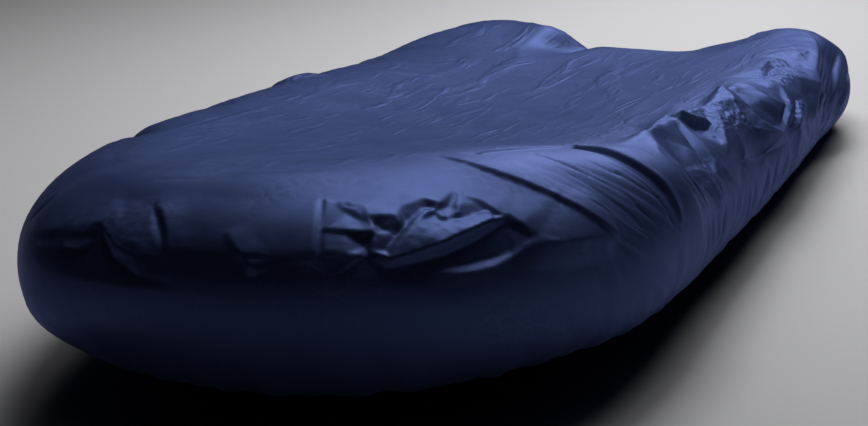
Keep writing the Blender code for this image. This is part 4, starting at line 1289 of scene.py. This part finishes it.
LONG_WRINKLE_WANDER = 0.9             # how far they wander from a straight line
SMOOTH, WRINKLED = 0.54, 0.84         # noise below the first leaves the cloth without them
SLACK_DOWN = (-0.06, 0.02)            # they end at the crest, where the cloth is drawn tight
BLOTCH = 0.16             # metres across a handled place
BLOTCH_DETAIL, BLOTCH_RAGGED = 3, 0.55    # finer layers of its noise, and how strong they are
SOFT_DETAIL = 2           # finer layers in the noise of the flats and the long wrinkles
UNCREASED, CREASED = 0.42, 0.66       # noise below the first leaves the cloth without flats
PRESSED, HANDLED = 0.3, 0.7           # noise where the cloth is smoothest and roughest
RUBBED_EDGE = 0.12        # how far from a flat's edge it is rubbed, as a share of its size
WAVE_TURN = 0.314         # a wave texture of scale 1 repeats in this many metres


def calendered_polyester():
    """Navy polyester taffeta with a soft satin shine, fine creases and handling marks."""
    material = bpy.data.materials.new("calendered_navy_polyester")
    material.use_nodes = True
    tree = material.node_tree
    tree.nodes.clear()
    metres = add_node(tree, "ShaderNodeUVMap", {"uv_map": CLOTH_MAP}).outputs["UV"]

    # the weave: two crossing waves, one to each set of threads
    threads = [add_node(tree, "ShaderNodeTexWave", {"bands_direction": way}, {"Vector": metres},
                        {"Scale": WAVE_TURN / THREAD}).outputs["Fac"] for way in "XY"]
    weave = add_node(tree, "ShaderNodeMath", {"operation": "MULTIPLY"},
                     {0: threads[0], 1: threads[1]}).outputs[0]

    # where the cloth was handled, and so creased and dulled
    blotches = add_node(tree, "ShaderNodeTexNoise", {}, {"Vector": metres},
                        {"Scale": 1 / BLOTCH, "Detail": BLOTCH_DETAIL,
                         "Roughness": BLOTCH_RAGGED}).outputs["Fac"]
    handled = add_node(tree, "ShaderNodeMapRange", {}, {"Value": blotches},
                       {"From Min": UNCREASED, "From Max": CREASED}).outputs[0]

    # small flats: cells whose height grows from their edges, bent by noise
    bend = add_node(tree, "ShaderNodeTexNoise", {}, {"Vector": metres},
                    {"Scale": 1 / FLAT, "Detail": SOFT_DETAIL}).outputs["Color"]
    bend = add_node(tree, "ShaderNodeVectorMath", {"operation": "SCALE"}, {0: bend},
                    {"Scale": FLAT_BEND * FLAT}).outputs[0]
    bent = add_node(tree, "ShaderNodeVectorMath", {"operation": "ADD"},
                    {0: metres, 1: bend}).outputs[0]
    flats = add_node(tree, "ShaderNodeTexVoronoi",
                     {"feature": "DISTANCE_TO_EDGE", "voronoi_dimensions": "2D"},
                     {"Vector": bent}, {"Scale": 1 / FLAT}).outputs["Distance"]
    creases = add_node(tree, "ShaderNodeMath", {"operation": "MULTIPLY"},
                       {0: flats, 1: handled}).outputs[0]

    # the finest flats: slanting planes that meet in sharp edges, in the crumple windows
    finest = add_node(tree, "ShaderNodeTexVoronoi",
                      {"feature": "F1", "voronoi_dimensions": "2D", "distance": "MANHATTAN"},
                      {"Vector": bent}, {"Scale": 1 / CRUSHED}).outputs["Distance"]
    crumpled = add_node(tree, "ShaderNodeAttribute",
                        {"attribute_name": "crumpled"}).outputs["Fac"]
    finest = add_node(tree, "ShaderNodeMath", {"operation": "MULTIPLY"},
                      {0: finest, 1: crumpled}).outputs[0]

    # long soft wrinkles: noise drawn out along the boat
    drawn_out = add_node(tree, "ShaderNodeMapping", {}, {"Vector": metres}, {
        "Scale": (1 / LONG_WRINKLE[0], 1 / LONG_WRINKLE[1], 1)}).outputs[0]
    long_wrinkles = add_node(tree, "ShaderNodeTexNoise", {}, {"Vector": drawn_out},
                             {"Scale": 1, "Detail": SOFT_DETAIL,
                              "Distortion": LONG_WRINKLE_WANDER}).outputs["Fac"]
    long_wrinkles = add_node(tree, "ShaderNodeMapRange", {}, {"Value": long_wrinkles}, {
        "From Min": SMOOTH, "From Max": WRINKLED}).outputs[0]
    down = add_node(tree, "ShaderNodeAttribute", {"attribute_name": "down"}).outputs["Fac"]
    slack = add_node(tree, "ShaderNodeMapRange", {}, {"Value": down}, {
        "From Min": SLACK_DOWN[0], "From Max": SLACK_DOWN[1],
        "To Min": 1, "To Max": 0}).outputs[0]
    long_wrinkles = add_node(tree, "ShaderNodeMath", {"operation": "MULTIPLY"},
                             {0: long_wrinkles, 1: slack}).outputs[0]

    normal = None
    for height, depth in ((long_wrinkles, LONG_WRINKLE_HEIGHT), (creases, FLAT_HEIGHT),
                          (finest, CRUSHED_HEIGHT), (weave, THREAD_HEIGHT)):
        links = {"Height": height}
        if normal:
            links["Normal"] = normal
        normal = add_node(tree, "ShaderNodeBump", {}, links, {"Distance": depth}).outputs[0]

    # dye and shine
    edges = add_node(tree, "ShaderNodeMapRange", {}, {"Value": flats},
                     {"From Max": RUBBED_EDGE, "To Min": 1, "To Max": 0}).outputs[0]
    rubbed = add_node(tree, "ShaderNodeMath", {"operation": "MULTIPLY"},
                      {0: edges, 1: handled}).outputs[0]
    # 6 and 7 are a Mix node's colour inputs, and 2 is its colour output
    dye = add_node(tree, "ShaderNodeMix", {"data_type": "RGBA"}, {"Factor": rubbed},
                   {6: hex_colour(NAVY), 7: hex_colour(RUBBED_NAVY)}).outputs[2]
    roughness = add_node(tree, "ShaderNodeMapRange", {}, {"Value": blotches}, {
        "From Min": PRESSED, "From Max": HANDLED,
        "To Min": SMOOTHEST, "To Max": ROUGHEST}).outputs[0]
    shader = add_node(tree, "ShaderNodeBsdfPrincipled", {}, {
        "Base Color": dye, "Roughness": roughness, "Normal": normal}, {
        "Metallic": METALLIC, "IOR": IOR, "Specular IOR Level": SPECULAR_LEVEL,
        "Specular Tint": hex_colour(SATIN_TINT)})
    add_node(tree, "ShaderNodeOutputMaterial", links={"Surface": shader.outputs[0]})
    return material


cloth.data.materials.append(calendered_polyester())
print("finish:", cloth.data.materials[0].name)

# %% [markdown]
# ## Floor and light
# A plain pale floor, and large soft lamps: most of the light comes from above and from
# behind the boat, so that it glances off the satin cloth towards us.

# %% Floor
FLOOR_SIZE = 60.0
FLOOR_COLOUR = "C0C0C2"
FLOOR_ROUGHNESS = 0.9


def add_floor():
    """A plain pale floor."""
    bpy.ops.object.select_all(action="DESELECT")
    bpy.ops.mesh.primitive_plane_add(size=FLOOR_SIZE, location=(0, 0, 0))
    floor = bpy.context.object
    floor.name = "floor"
    material = bpy.data.materials.new("pale_matt_floor")
    material.use_nodes = True
    shader = material.node_tree.nodes["Principled BSDF"]
    shader.inputs["Base Color"].default_value = hex_colour(FLOOR_COLOUR)
    shader.inputs["Roughness"].default_value = FLOOR_ROUGHNESS
    floor.data.materials.append(material)
    return floor


floor = add_floor()
print("floor", FLOOR_SIZE, "m wide")

# %% Lamps
LAMPS = (
    # name           place                 size   watts
    ("overhead",     (0.1, 0.9, 4.2),      2.0,   88),
    ("high right",   (1.4, 1.2, 3.5),      1.6,   31),
    ("back left",    (-1.6, 2.3, 3.1),     1.6,   22),
    ("back",         (0.0, 3.5, 2.3),      1.6,   58),
    ("front high",   (0.6, -2.0, 3.7),     1.6,    2),
)
LAMP_AIM = Vector((0, 0, 0.2))
ROOM_LIGHT = 0.005        # strength of the light that comes from everywhere


def add_lamps():
    """Square soft lamps, all turned to the cover."""
    for name, place, size, watts in LAMPS:
        data = bpy.data.lights.new(name, "AREA")
        data.shape = "SQUARE"
        data.size = size
        data.energy = watts
        lamp = bpy.data.objects.new(name, data)
        bpy.context.scene.collection.objects.link(lamp)
        lamp.location = place
        lamp.rotation_euler = (LAMP_AIM - Vector(place)).to_track_quat("-Z", "Y").to_euler()
    world = bpy.data.worlds.new("room")
    bpy.context.scene.world = world
    world.use_nodes = True
    world.node_tree.nodes["Background"].inputs["Strength"].default_value = ROOM_LIGHT


add_lamps()
bpy.context.scene.view_settings.view_transform = "Standard"
print(len(LAMPS), "lamps")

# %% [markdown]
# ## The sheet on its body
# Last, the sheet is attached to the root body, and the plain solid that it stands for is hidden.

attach(cloth, "root")
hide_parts("cover")
